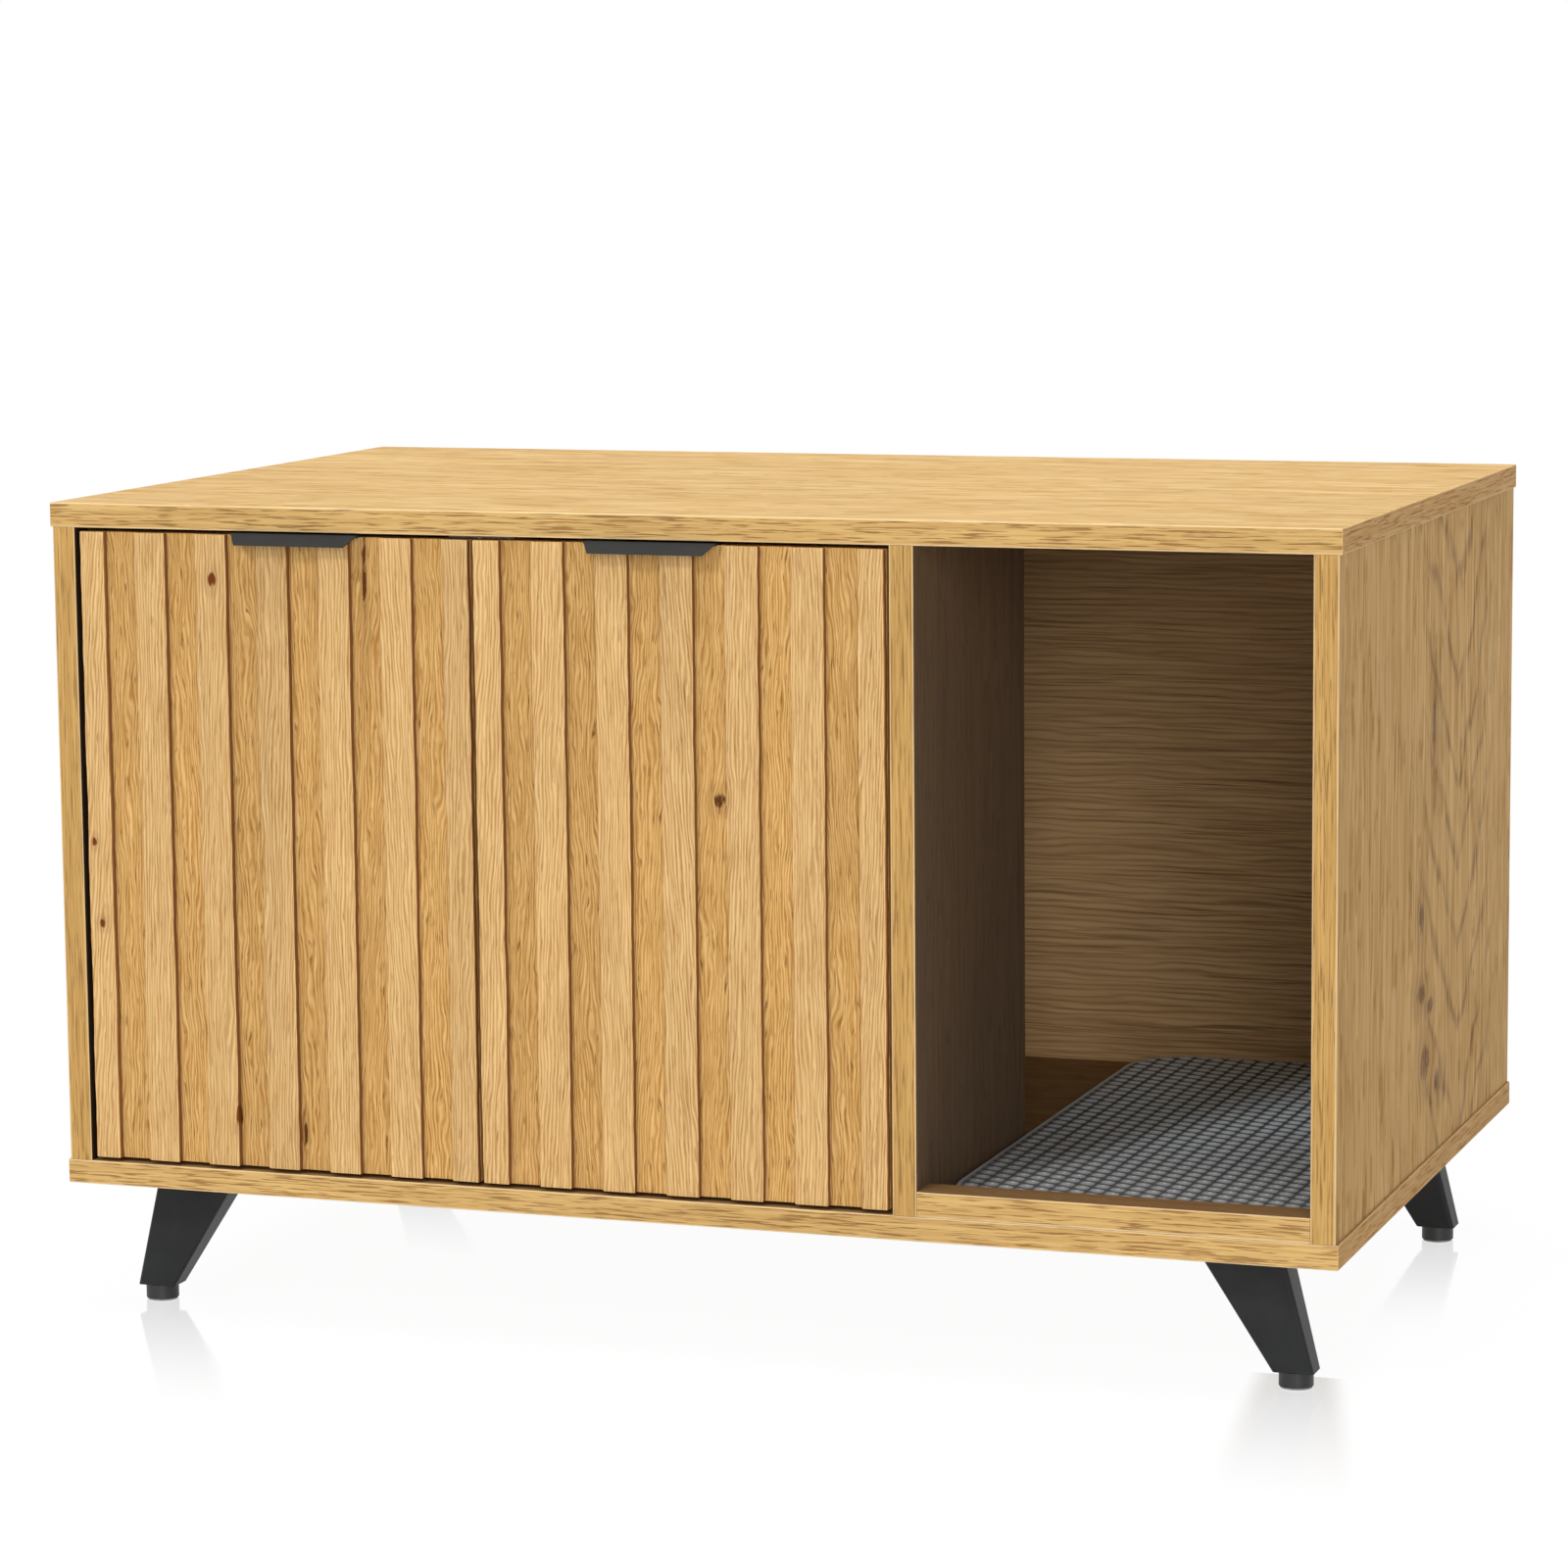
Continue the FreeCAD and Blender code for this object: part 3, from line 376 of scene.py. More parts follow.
@dataclass(frozen=True)
class Oak:
    """Oak, printed or real, with its grain along one axis.

    Attributes:
        name: Name of the material.
        along: Axis that the grain follows.
        light: Colour of the early wood.
        middle: Colour of the lines.
        dark: Colour of strokes, arches and cracks, and of the painted shade on the long sides.
        grain: Sizes of the figure.
        broad: Axis that the broad face looks along.
        arches: Arches on the broad face, if it has any.
        strips: Strips that the board is made of, if it is.
        knots: Knots in the broad face.
        knot_tone, halo_tone: How dark they and the wood round them are, from 0 to 1.
        inner: Inner face of the board, +1 or -1 along the broad axis, or 0 where there is none.
        inner_shade: Colour of the painted shade laid over the inner face.
        inner_shade_share: How much of that painted shade it has.
        gap_shade_end: Place along Y in front of which the inner face takes more painted shade, for the shade
            of the gap beside the door, if it is anywhere.
        gap_shade_share: How much of the painted inner shade it has there.
        end_tint: Colour that the ends are tinted with.
        end_share: How much of that colour they have.
        broad_face_shade: How light the broad faces are beside the edges, 1 for the same; below 1 it is
            painted shade.
        side_shade: How dark the long sides are painted as shade, from 0 to 1.
        highlight_planes: Planes along which a pale line of painted highlight runs, each an axis and a place
            on it.
        highlight_fade: Distance from the plane at which the painted highlight line fades, and is gone.
        highlight_share: How much of the pale highlight colour it has.
        seed: Moves the figure to another part of the tree.
    """

    name: str
    along: Axis
    light: Colour
    middle: Colour
    dark: Colour
    grain: Grain
    broad: Axis = Axis.Z
    arches: Optional[Arches] = None
    strips: Optional[Strips] = None
    knots: tuple[Knot, ...] = ()
    knot_tone: float = 1.0
    halo_tone: float = 0.2
    inner: float = 0.0
    inner_shade: Colour = (0.1, 0.07, 0.05, 1.0)
    inner_shade_share: float = 0.0
    gap_shade_end: Optional[float] = None
    gap_shade_share: float = 0.97
    end_tint: Optional[Colour] = None
    end_share: float = 0.45
    broad_face_shade: float = 1.0
    side_shade: float = 0.0
    highlight_planes: tuple[tuple[Axis, float], ...] = ()
    highlight_fade: tuple[float, float] = (0.4 * MILLIMETRE, 0.8 * MILLIMETRE)
    highlight_share: float = 0.5
    seed: float = 0.0

    @property
    def beside(self) -> Axis:
        """Axis that the long sides of the board look along."""
        return next(axis for axis in Axis if axis not in (self.along, self.broad))

    def build(self) -> Material:
        """Make the material."""
        shader = Shader(self.name)
        spot = shader.position()
        facing = shader.facing()
        across, along = spot[self.beside.value], spot[self.along.value]
        end = self._looks_along(facing, self.along)
        broad = self._looks_along(facing, self.broad)
        place = (end.blend(across, along), spot[self.broad.value], end.blend(along, across))
        place, tone = self._strip(shader, place)
        place, heart, halo = self._knot(shader, place, across, along)
        wander = self._cells(shader, place, (0.020, 0.020, self.grain.bend), Layer.WANDER) - 0.5
        place = (place[0] + wander * 2 * self.grain.sway, place[1], place[2])
        lines = self._lines(shader, place)
        strokes = self._cells(shader, place, self.grain.stroke, Layer.STROKES)
        strokes = strokes.rise(self.grain.rarity, self.grain.rarity + 0.1)
        calm = 1 - broad * self.grain.calm
        colour = shader.mix(lines * self.grain.depth, self.light, self.middle)
        colour = shader.mix(strokes * calm * self.grain.strokes, colour, self.dark)
        if self.arches is not None:
            arches = self._rings(shader, across, along, place) * (1 - end)
            colour = shader.mix(arches * (0.45 + lines * 0.55), colour, self.dark)
        colour = shader.mix(heart * self.knot_tone + halo * self.halo_tone, colour, self.dark)
        cloud = self._cells(shader, place, (0.03, 0.03, 0.16), Layer.CLOUD)
        # Painted shade: the broad faces are darker than the edges.
        tone = tone * (1 - broad * (1 - self.broad_face_shade))
        # Painted highlight: the rounded edges are drawn lighter.
        colour = shader.dim(colour, tone * (0.88 + cloud * 0.24) * self._painted_edge_highlight(facing))
        colour = self._tint_faces(shader, colour, spot, facing)
        height = 1 - lines * 0.7 - strokes * 0.6 - heart * 2
        return shader.surface(
            Base_Color=colour,
            Roughness=0.46 + lines * 0.12 + strokes * 0.15,
            Specular_IOR_Level=0.06,
            Normal=shader.bump(height, self.grain.relief),
        )

    @staticmethod
    def _looks_along(facing: Place, axis: Axis) -> Value:
        """Return 1 on the faces that look along an axis, either way, else 0."""
        return facing[axis.value].size() > LOOKING

    def _cells(self, shader: Shader, place: Place, sizes: Sizes, layer: Layer, detail: float = 2.0) -> Value:
        """Return noise with cells of the given sizes across, through and along the board."""
        across, through, along = (spot / size for spot, size in zip(place, sizes))
        return shader.noise(shader.vector(across, through, along + (self.seed + layer.value)), 1.0, detail)

    def _strip(self, shader: Shader, place: Place) -> tuple[Place, Number]:
        """Shift and tilt the grain of each strip, and give it a tone of its own.

        Returns:
            The moved place, and the strip's tone.
        """
        if self.strips is None:
            return place, 1.0
        across, through, along = place
        strips = self.strips
        number = ((across - strips.start) / strips.pitch).floor()
        tilt = (shader.chance(number, self.seed) - 0.5) * strips.tilt
        moved = across + tilt * along + number * strips.step
        slid = along + shader.chance(number, self.seed + 0.31) * strips.slide
        tone = strips.tones[0] + shader.chance(number, self.seed + 0.73) * strips.tones[1]
        return (moved, through, slid), tone

    def _knot(
        self, shader: Shader, place: Place, across: Value, along: Value
    ) -> tuple[Place, Number, Number]:
        """Bend the grain round each knot.

        Returns:
            The bent place, the knots' dark hearts and the darker wood round them.
        """
        if not self.knots:
            return place, 0.0, 0.0
        bent: Number = place[0]
        heart: Number = 0.0
        halo: Number = 0.0
        ragged = self._cells(shader, place, (0.003, 0.003, 0.012), Layer.RAGGED, 3.0) * 2
        ragged = ragged * ragged * 0.6
        for knot in self.knots:
            side = across - knot.across
            aside = side / knot.width
            ahead = (along - knot.along) / knot.length
            far = aside * aside + ahead * ahead
            bent = bent - side / (far + 0.4)
            heart = (1 - (far * 0.6 + ragged).rise(0.7, 1.5)).most(heart)
            halo = (1 - far.rise(0.5, 12.0)).most(halo)
        return (bent, place[1], place[2]), heart, halo

    def _lines(self, shader: Shader, place: Place) -> Value:
        """Return the fine lines of the grain, 1 where they are darkest."""
        grain = self.grain
        sizes = (grain.pitch * 3, grain.layer * 3, grain.bend * 0.3)
        jitter = self._cells(shader, place, sizes, Layer.JITTER) - 0.5
        turn = place[0] / grain.pitch + place[1] / grain.layer + jitter * 2.0
        wave = ((turn * math.tau).sine() * 0.5 + 0.5) ** grain.fine
        sizes = (grain.pitch * 0.8, grain.layer * 0.8, grain.bend * 0.35)
        loose = self._cells(shader, place, sizes, Layer.LOOSE, 3.0)
        return loose.rise(0.32, 0.66) * (1 - grain.order) + wave * grain.order

    def _rings(self, shader: Shader, across: Value, along: Value, place: Place) -> Value:
        """Return the dark lines of the arches on the broad face."""
        arches = self.arches
        side = across - arches.middle
        span = (side * side + arches.blunt ** 2) ** 0.5
        wobble = self._cells(shader, place, (0.05, 0.05, 0.10), Layer.WOBBLE) * 1.3
        turn = ((along - arches.tip - span * arches.steep) / arches.pitch + wobble).fraction()
        peak = ((turn - 0.5).size() * 2).rise(0.66, 1.0)
        patchy = self._cells(shader, place, (0.010, 0.010, 0.05), Layer.PATCHES).rise(0.28, 0.56)
        return peak * patchy * (1 - span.rise(arches.reach * 0.5, arches.reach)) * arches.strength

    @staticmethod
    def _painted_edge_highlight(facing: Place) -> Value:
        """Return a painted highlight: a lighter tone on the rounded edges."""
        flat = facing[0].size().most(facing[1].size()).most(facing[2].size())
        return 1.5 - flat.rise(0.80, 0.99) * 0.5

    def _tint_faces(self, shader: Shader, colour: Socket, spot: Place, facing: Place) -> Socket:
        """Paint pale highlight lines near the edges and shade on the long sides and the inner face, and tint
        the ends, as far as the board asks for it.
        """
        # Painted highlight: a pale line along each plane, on the faces that cross it.
        if self.highlight_planes:
            painted_highlight: Number = 0.0
            for axis, level in self.highlight_planes:
                line = 1 - (spot[axis.value] - level).size().rise(*self.highlight_fade)
                painted_highlight = (line * (1 - self._looks_along(facing, axis))).most(painted_highlight)
            colour = shader.mix(painted_highlight * self.highlight_share, colour, EDGE_HIGHLIGHT)
        # Painted shade: the long sides are darkened towards the dark colour.
        if self.side_shade > 0:
            long_side = facing[self.beside.value].size().rise(0.5, 0.9)
            colour = shader.mix(long_side * self.side_shade, colour, self.dark)
        # Painted shade on the inner face, which looks into the cabinet.
        if self.inner != 0:
            inside = (facing[self.broad.value] * self.inner) > LOOKING
            share: Number = self.inner_shade_share
            # Painted shade of the door gap: the front of the inner face is darker still.
            if self.gap_shade_end is not None:
                share = (spot[Axis.Y.value] > self.gap_shade_end).blend(self.gap_shade_share, self.inner_shade_share)
            colour = shader.mix(inside * share, colour, self.inner_shade)
        if self.end_tint is not None:
            end = self._looks_along(facing, self.along)
            colour = shader.mix(end * self.end_share, colour, self.end_tint)
        return colour


@dataclass(frozen=True)
class Metal:
    """Metal, bare or powder-coated.

    Attributes:
        name: Name of the material.
        colour: Its colour.
        worn: Its colour where it is lighter.
        metallic: 1 for bare metal, 0 for paint.
        roughness: How matt it is.
        speckle: Size of the orange peel or of the scratches.
        relief: Height of the speckle.
    """

    name: str
    colour: Colour
    worn: Colour
    metallic: float
    roughness: float
    speckle: float = 0.0012
    relief: float = 0.00005

    def build(self) -> Material:
        """Make the material."""
        shader = Shader(self.name)
        x, y, z = shader.position()
        spot = shader.noise(shader.vector(x, y, z), 1 / self.speckle, 2.0)
        cloud = shader.noise(shader.vector(x, y, z), 30.0, 3.0)
        return shader.surface(
            Base_Color=shader.mix(cloud.rise(0.35, 0.75), self.colour, self.worn),
            Metallic=self.metallic,
            Specular_IOR_Level=0.5 if self.metallic else 0.12,
            Roughness=self.roughness + (cloud - 0.5) * 0.2 + (spot - 0.5) * 0.1,
            Normal=shader.bump(spot, self.relief),
        )


@dataclass(frozen=True)
class Moulded:
    """Moulded plastic or rubber, with a fine even texture.

    Attributes:
        name: Name of the material.
        colour: Its colour.
        shade: Its colour in the pits of the texture.
        roughness: How matt it is.
        texture: Size of the pits.
    """

    name: str
    colour: Colour
    shade: Colour
    roughness: float
    texture: float = 0.0008

    def build(self) -> Material:
        """Make the material."""
        shader = Shader(self.name)
        x, y, z = shader.position()
        pit = shader.noise(shader.vector(x, y, z), 1 / self.texture, 2.0)
        return shader.surface(
            Base_Color=shader.mix(pit.rise(0.3, 0.7), self.shade, self.colour),
            Roughness=self.roughness + (pit - 0.5) * 0.15,
            Normal=shader.bump(pit, 0.00006),
        )


@dataclass(frozen=True)
class Weave:
    """Woven grey yarn, darker between its loops, with a painted highlight on their crowns and painted light
    towards the mat's far end.

    Attributes:
        name: Name of the material.
        low: Colour between the loops.
        high: Colour of the loops.
        painted_glint: Colour of their crowns, a painted highlight.
        painted_far_light: Colour of the loops at the far end, painted light where little lamp light reaches.
        far: Where that painted light sets in, and where it is reached.
        relief: Height of the yarn's strands.
    """

    name: str
    low: Colour
    high: Colour
    painted_glint: Colour
    painted_far_light: Colour
    far: tuple[float, float] = (-0.25, 0.18)
    relief: float = 0.0003

    def build(self) -> Material:
        """Make the material."""
        shader = Shader(self.name)
        x, y, z = shader.position()
        height = shader.attribute("loop_height")
        strand = shader.noise(shader.vector(x * 2.2, y, z), 900.0, 2.0)
        patch = shader.noise(shader.vector(x, y, z), 14.0, 2.0)
        level = height + (strand - 0.5) * 0.5
        body = level.rise(0.14, 0.50)
        colour = shader.mix(body, self.low, self.high)
        # Painted light: the loops grow lighter and cooler towards the far end.
        colour = shader.mix(body * y.rise(*self.far), colour, self.painted_far_light)
        # Painted highlight on the crowns of the loops.
        colour = shader.mix(level.rise(0.74, 1.0), colour, self.painted_glint)
        return shader.surface(
            Base_Color=shader.dim(colour, 0.9 + patch * 0.2),
            Roughness=0.72 - level * 0.2,
            Normal=shader.bump(strand, self.relief),
        )


# How far in from a face its painted highlight line lies.
HIGHLIGHT_INSET = 0.5 * MILLIMETRE
# Colour of the painted highlight lines along the board edges.
EDGE_HIGHLIGHT = paint("E6CFA6")
LAMINATE = {"light": paint("D2AF72"), "middle": paint("B89055"), "dark": paint("734722")}
PANEL = {"light": paint("C9A263"), "middle": paint("AA8045"), "dark": paint("5F3A1E")}
HEWN = {"light": paint("DEBB84"), "middle": paint("B1854D"), "dark": paint("6C3714")}
GROOVE = {"light": paint("DBB172"), "middle": paint("A97A3B"), "dark": paint("5A3315")}
BLACK_STEEL = Metal("black_steel", paint("2A2B2C"), paint("303132"), 0.0, 0.42)
BLACK_HANDLE = Metal("black_handle", paint("242525"), paint("2A2B2B"), 0.0, 0.48)
NICKEL = Metal("nickel_plate", paint("C9C6C0"), paint("B5B2AB"), 1.0, 0.26, 0.0008)
ZINC = Metal("die_cast_zinc", paint("A9A9A6"), paint("94948F"), 1.0, 0.42, 0.0006)
FOOT_PLASTIC = Moulded("foot_plastic", paint("1F2021"), paint("18191A"), 0.5)
PAD_RUBBER = Moulded("pad_rubber", paint("B9BAB8"), paint("A7A8A6"), 0.75)
CATCH_PLASTIC = Moulded("catch_plastic", paint("E6E3DC"), paint("D8D5CD"), 0.4)


# ---- Making pieces ----


def add_object(name: str, data: bpy.types.ID) -> bpy.types.Object:
    """Put a new object in the scene."""
    thing = bpy.data.objects.new(name, data)
    bpy.context.scene.collection.objects.link(thing)
    return thing


def add_mesh(name: str, mesh: Mesh, material: Material) -> bpy.types.Object:
    """Put a worked mesh in the scene as an object of one material, and free it."""
    data = bpy.data.meshes.new(name)
    mesh.to_mesh(data)
    mesh.free()
    data.materials.append(material)
    return add_object(name, data)


def edge_highlight_planes(low: Vector, high: Vector, axis: Axis) -> tuple[tuple[Axis, float], ...]:
    """Return the planes near both faces of a board where a painted highlight line runs."""
    return ((axis, low[axis.value] + HIGHLIGHT_INSET), (axis, high[axis.value] - HIGHLIGHT_INSET))


def dress(names: Iterable[str], material: Material) -> None:
    """Give CAD nodes their finish."""
    for name in names:
        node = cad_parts[name]
        if not node.material_slots:
            node.data.materials.append(material)
        for place in node.material_slots:
            place.material = material
    log.info("dressed %s in %s", ", ".join(names), material.name)


def finish_piece(
    name: str, mesh: Mesh, material: Material, body: str, stands_for: Iterable[str],
    crease: float = 35.0,
) -> bpy.types.Object:
    """Turn a worked mesh into a piece of the cabinet.

    Args:
        name: Name of the piece.
        mesh: Its mesh, in place, which is freed.
        material: Its finish.
        body: Body that it moves with.
        stands_for: CAD nodes that it replaces.
        crease: Angle in degrees above which an edge stays sharp.

    Returns:
        The piece.
    """
    bmesh.ops.recalc_face_normals(mesh, faces=mesh.faces)
    piece = add_mesh(name, mesh, material)
    piece.data.shade_smooth()
    piece.data.set_sharp_from_angle(angle=math.radians(crease))
    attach(piece, body)
    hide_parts(*stands_for)
    log.info("built %s, %d faces, on %s", name, len(piece.data.polygons), body)
    return piece


def make_block(low: Vector, high: Vector) -> Mesh:
    """Start a mesh as a block between two corners."""
    mesh = bmesh.new()
    bmesh.ops.create_cube(mesh, size=1.0)
    bmesh.ops.scale(mesh, vec=high - low, verts=mesh.verts)
    bmesh.ops.translate(mesh, vec=(low + high) / 2, verts=mesh.verts)
    return mesh


def round_off(mesh: Mesh, edges: Iterable[bmesh.types.BMEdge], radius: float, steps: int) -> None:
    """Round edges off with a radius in a number of steps."""
    bmesh.ops.bevel(
        mesh,
        geom=list(edges),
        offset=radius,
        offset_type="OFFSET",
        segments=steps,
        profile=0.5,
        affect="EDGES",
        material=-1,
        clamp_overlap=True,
    )


# ---- Sub-assemblies ----


@dataclass
class Carcass:
    """The boards of the cabinet: top, bottom, sides, partition, back and threshold rail."""

    flat_grain: Grain = Grain(
        pitch=0.012, layer=0.0026, order=0.2, depth=0.75, sway=0.015, bend=0.30,
        stroke=(0.0080, 0.0012, 0.028), strokes=0.65, calm=0.8, rarity=0.52,
    )
    side_grain: Grain = Grain(
        pitch=0.011, layer=0.0026, order=0.45, fine=2.0, depth=0.85, sway=0.018, bend=0.36,
        stroke=(0.0042, 0.0013, 0.036), strokes=0.5, calm=0.45, rarity=0.54,
    )
    back_grain: Grain = Grain(
        pitch=0.0048, layer=0.0030, order=0.6, fine=2.5, depth=0.75, sway=0.005, bend=0.26,
        stroke=(0.0012, 0.0012, 0.11), strokes=0.5, rarity=0.57, relief=0.00012,
    )
    side_arches: Arches = Arches(middle=0.104, tip=0.296, pitch=0.068, strength=0.7)
    side_smudges: tuple[Knot, ...] = (
        Knot(-0.007, 0.192, 0.016, 0.012), Knot(0.035, 0.170, 0.012, 0.009),
        Knot(-0.022, 0.245, 0.014, 0.007), Knot(0.008, 0.232, 0.010, 0.006),
        Knot(-0.024, 0.303, 0.008, 0.014), Knot(0.016, 0.440, 0.006, 0.028),
    )
    # Depth of the painted door-gap shade at the front of the left side's inner face.
    gap_shade_depth: float = 22 * MILLIMETRE

    def build(self) -> None:
        """Dress every board."""
        flat_boards = (("top_panel", 0.0, 0.0), ("bottom_panel", 2.0, 0.75), ("threshold_rail", 11.0, 0.9))
        for name, seed, inner_shade_share in flat_boards:
            self.dress_flat_board(name, seed, inner_shade_share)
        for side, inner, seed in ((Side.LEFT, 1.0, 3.0), (Side.RIGHT, -1.0, 8.0)):
            self.dress_side(side, inner, seed)
        self.dress_partition()
        self.dress_back()

    def dress_flat_board(self, name: str, seed: float, inner_shade_share: float) -> None:
        """Dress a board that lies, with painted shade on its upper face as strong as the inner shade share
        says.
        """
        low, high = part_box(name)
        board = Oak(
            f"oak_{name}", Axis.X, grain=self.flat_grain, broad=Axis.Z, inner=1.0,
            # Painted shade on the upper face, a dark brown.
            inner_shade=paint("6E5034"), inner_shade_share=inner_shade_share, end_tint=paint("9A6A34"),
            # Painted highlight lines along the edges of the upper, lower and front faces.
            highlight_planes=(*edge_highlight_planes(low, high, Axis.Z), (Axis.Y, low.y + HIGHLIGHT_INSET)), seed=seed, **LAMINATE,
        )
        dress([name], board.build())

    def dress_side(self, side: Side, inner: float, seed: float) -> None:
        """Dress a side panel, whose inner face looks along X or, at -1, against it, and takes painted shade.
        """
        low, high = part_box(f"{side.value}_side_panel")
        board = Oak(
            f"oak_{side.value}_side", Axis.Z, grain=self.side_grain, broad=Axis.X,
            arches=self.side_arches, knots=self.side_smudges, knot_tone=0.6, inner=inner,
            # Painted shade on the inner face, and a little on both broad faces.
            inner_shade=paint("2A201A"), inner_shade_share=0.45, broad_face_shade=0.9,
            # Painted shade of the door gap at the front of the left panel's inner face.
            gap_shade_end=low.y + self.gap_shade_depth if side is Side.LEFT else None,
            # Painted highlight lines along the edges of both broad faces and the front face.
            highlight_planes=(*edge_highlight_planes(low, high, Axis.X), (Axis.Y, low.y + HIGHLIGHT_INSET)), seed=seed, **PANEL,
        )
        dress([f"{side.value}_side_panel"], board.build())

    def dress_partition(self) -> None:
        """Dress the partition, with painted shade on the bay's side."""
        low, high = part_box("front_partition")
        partition = Oak(
            "oak_partition", Axis.Z, grain=self.side_grain, broad=Axis.X, inner=1.0,
            # Painted shade on the bay's side; painted highlight lines along both broad faces.
            inner_shade=paint("584A42"), inner_shade_share=0.85, highlight_planes=edge_highlight_planes(low, high, Axis.X),
            seed=5.0, **PANEL,
        )
        dress(["front_partition"], partition.build())

    def dress_back(self) -> None:
        """Dress the back panel, whose wood is darker and plainer."""
        back = Oak(
            "oak_back", Axis.X, light=paint("D0A979"), middle=paint("956F46"), dark=paint("4A311C"),
            grain=self.back_grain, broad=Axis.Y, seed=14.0,
        )
        dress(["back_panel"], back.build())


@dataclass
class RibbedDoor:
    """A door faced with hewn oak slats on a board."""

    side: Side
    slat_count: int = 7
    edge_radius: float = 1.1 * MILLIMETRE
    hinge_radius: float = 2.9 * MILLIMETRE
    end_radius: float = 0.5 * MILLIMETRE
    section_length: float = 4 * MILLIMETRE
    waver: float = 0.8 * MILLIMETRE
    slow_waver: float = 22.0
    quick_waver: float = 85.0
    hollow: float = 0.35 * MILLIMETRE
    dents: tuple[float, float] = (60.0, 30.0)
    slat_grain: Grain = Grain(pitch=0.0025, depth=1.0, sway=0.006, bend=0.12, strokes=0.4)
    groove_grain: Grain = Grain(pitch=0.0024, depth=1.0, sway=0.009, strokes=0.7, relief=0.00016)
    knots: tuple[Knot, ...] = (
        Knot(-0.3545, 0.5557), Knot(-0.4556, 0.3591, 0.0022, 0.003),
        Knot(-0.4507, 0.2981, 0.0022, 0.003), Knot(0.0362, 0.4084, 0.004, 0.005),
        Knot(-0.2355, 0.560, 0.0016, 0.030), Knot(-0.2914, 0.1477, 0.0016, 0.009),
        Knot(-0.3436, 0.1585, 0.0014, 0.008),
    )

    @property
    def body(self) -> str:
        """Body that the door's pieces move with."""
        return f"{self.side.value}_door"

    def node(self, piece: str) -> str:
        """Return the name of one of the door's CAD nodes."""
        return f"{self.side.value}_{piece}"

    def strips(self) -> Strips:
        """Return the strips of the door, worked out from its second and third slats."""
        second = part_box(self.node("door_slat_2"))[0].x
        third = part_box(self.node("door_slat_3"))[0].x
        pitch = third - second
        return Strips(start=second - pitch, pitch=pitch)

    def build(self) -> None:
        """Build the slats and dress the board behind them."""
        seed = 20.0 if self.side is Side.LEFT else 40.0
        strips = self.strips()
        slat_oak = Oak(
            f"oak_{self.side.value}_slats", Axis.Z, grain=self.slat_grain, broad=Axis.Y, strips=strips,
            # The slats' long sides take painted shade.
            knots=self.knots, side_shade=0.8, seed=seed, **HEWN,
        ).build()
        for number in range(1, self.slat_count + 1):
            self.build_slat(number, slat_oak)
        groove_oak = Oak(
            f"oak_{self.side.value}_core", Axis.Z, grain=self.groove_grain, broad=Axis.Y, strips=strips,
            knots=self.knots, seed=seed + 9, **GROOVE,
        )
        dress([self.node("door_core")], groove_oak.build())

    def build_slat(self, number: int, material: Material) -> None:
        """Build one slat, with long edges that waver as hewn ones do.

        Args:
            number: Number of the slat, from the left.
            material: Its finish.
        """
        node = self.node(f"door_slat_{number}")
        low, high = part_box(node)
        mesh = make_block(low, high)
        front_edges = [
            edge for edge in self.long_edges(mesh)
            if all(abs(vert.co.y - low.y) < TOUCHING for vert in edge.verts)
        ]
        hinged = number == (1 if self.side is Side.LEFT else self.slat_count)
        round_off(mesh, front_edges, self.hinge_radius if hinged else self.edge_radius, 4)
        end_edges = [
            edge for edge in mesh.edges
            if abs(edge.verts[0].co.z - edge.verts[1].co.z) < TOUCHING
            and any(vert.co.y < high.y - TOUCHING for vert in edge.verts)
        ]
        round_off(mesh, end_edges, self.end_radius, 2)
        sections = round((high.z - low.z) / self.section_length)
        long_edges = self.long_edges(mesh)
        bmesh.ops.subdivide_edges(mesh, edges=long_edges, cuts=sections - 1, use_grid_fill=False)
        self.hew(mesh, low, high, number)
        name = f"{self.side.value}_hewn_slat_{number}"
        finish_piece(name, mesh, material, self.body, [node], crease=40.0)

    @staticmethod
    def long_edges(mesh: Mesh) -> list[bmesh.types.BMEdge]:
        """Return the edges that run the length of a slat."""
        return [edge for edge in mesh.edges if abs(edge.verts[0].co.z - edge.verts[1].co.z) > 0.1]

    def hew(self, mesh: Mesh, low: Vector, high: Vector, number: int) -> None:
        """Draw the sides and the front of a slat in by a little, unevenly along its length."""
        middle = (low.x + high.x) / 2
        half = (high.x - low.x) / 2
        lane = number + (0 if self.side is Side.LEFT else 50)
        for vert in mesh.verts:
            edge = 1 if vert.co.x > middle else -1
            slow = noise.noise(Vector((lane * 3.1, edge * 5.7, vert.co.z * self.slow_waver)))
            quick = noise.noise(Vector((lane * 7.3, edge * 2.9, vert.co.z * self.quick_waver)))
            draw = self.waver * min(1.0, max(0.0, 0.45 + 0.7 * slow + 0.45 * quick))
            share = abs(vert.co.x - middle) / half
            if vert.co.y < low.y + 10 * TOUCHING:
                dent = noise.noise(Vector((vert.co.x * self.dents[0], lane, vert.co.z * self.dents[1])))
                vert.co.y += self.hollow * max(0.0, dent)
            vert.co.x -= edge * draw * share


class Handles:
    """The two black edge pulls."""

    def build(self) -> None:
        """Dress both handles."""
        dress(["left_handle", "right_handle"], BLACK_HANDLE.build())


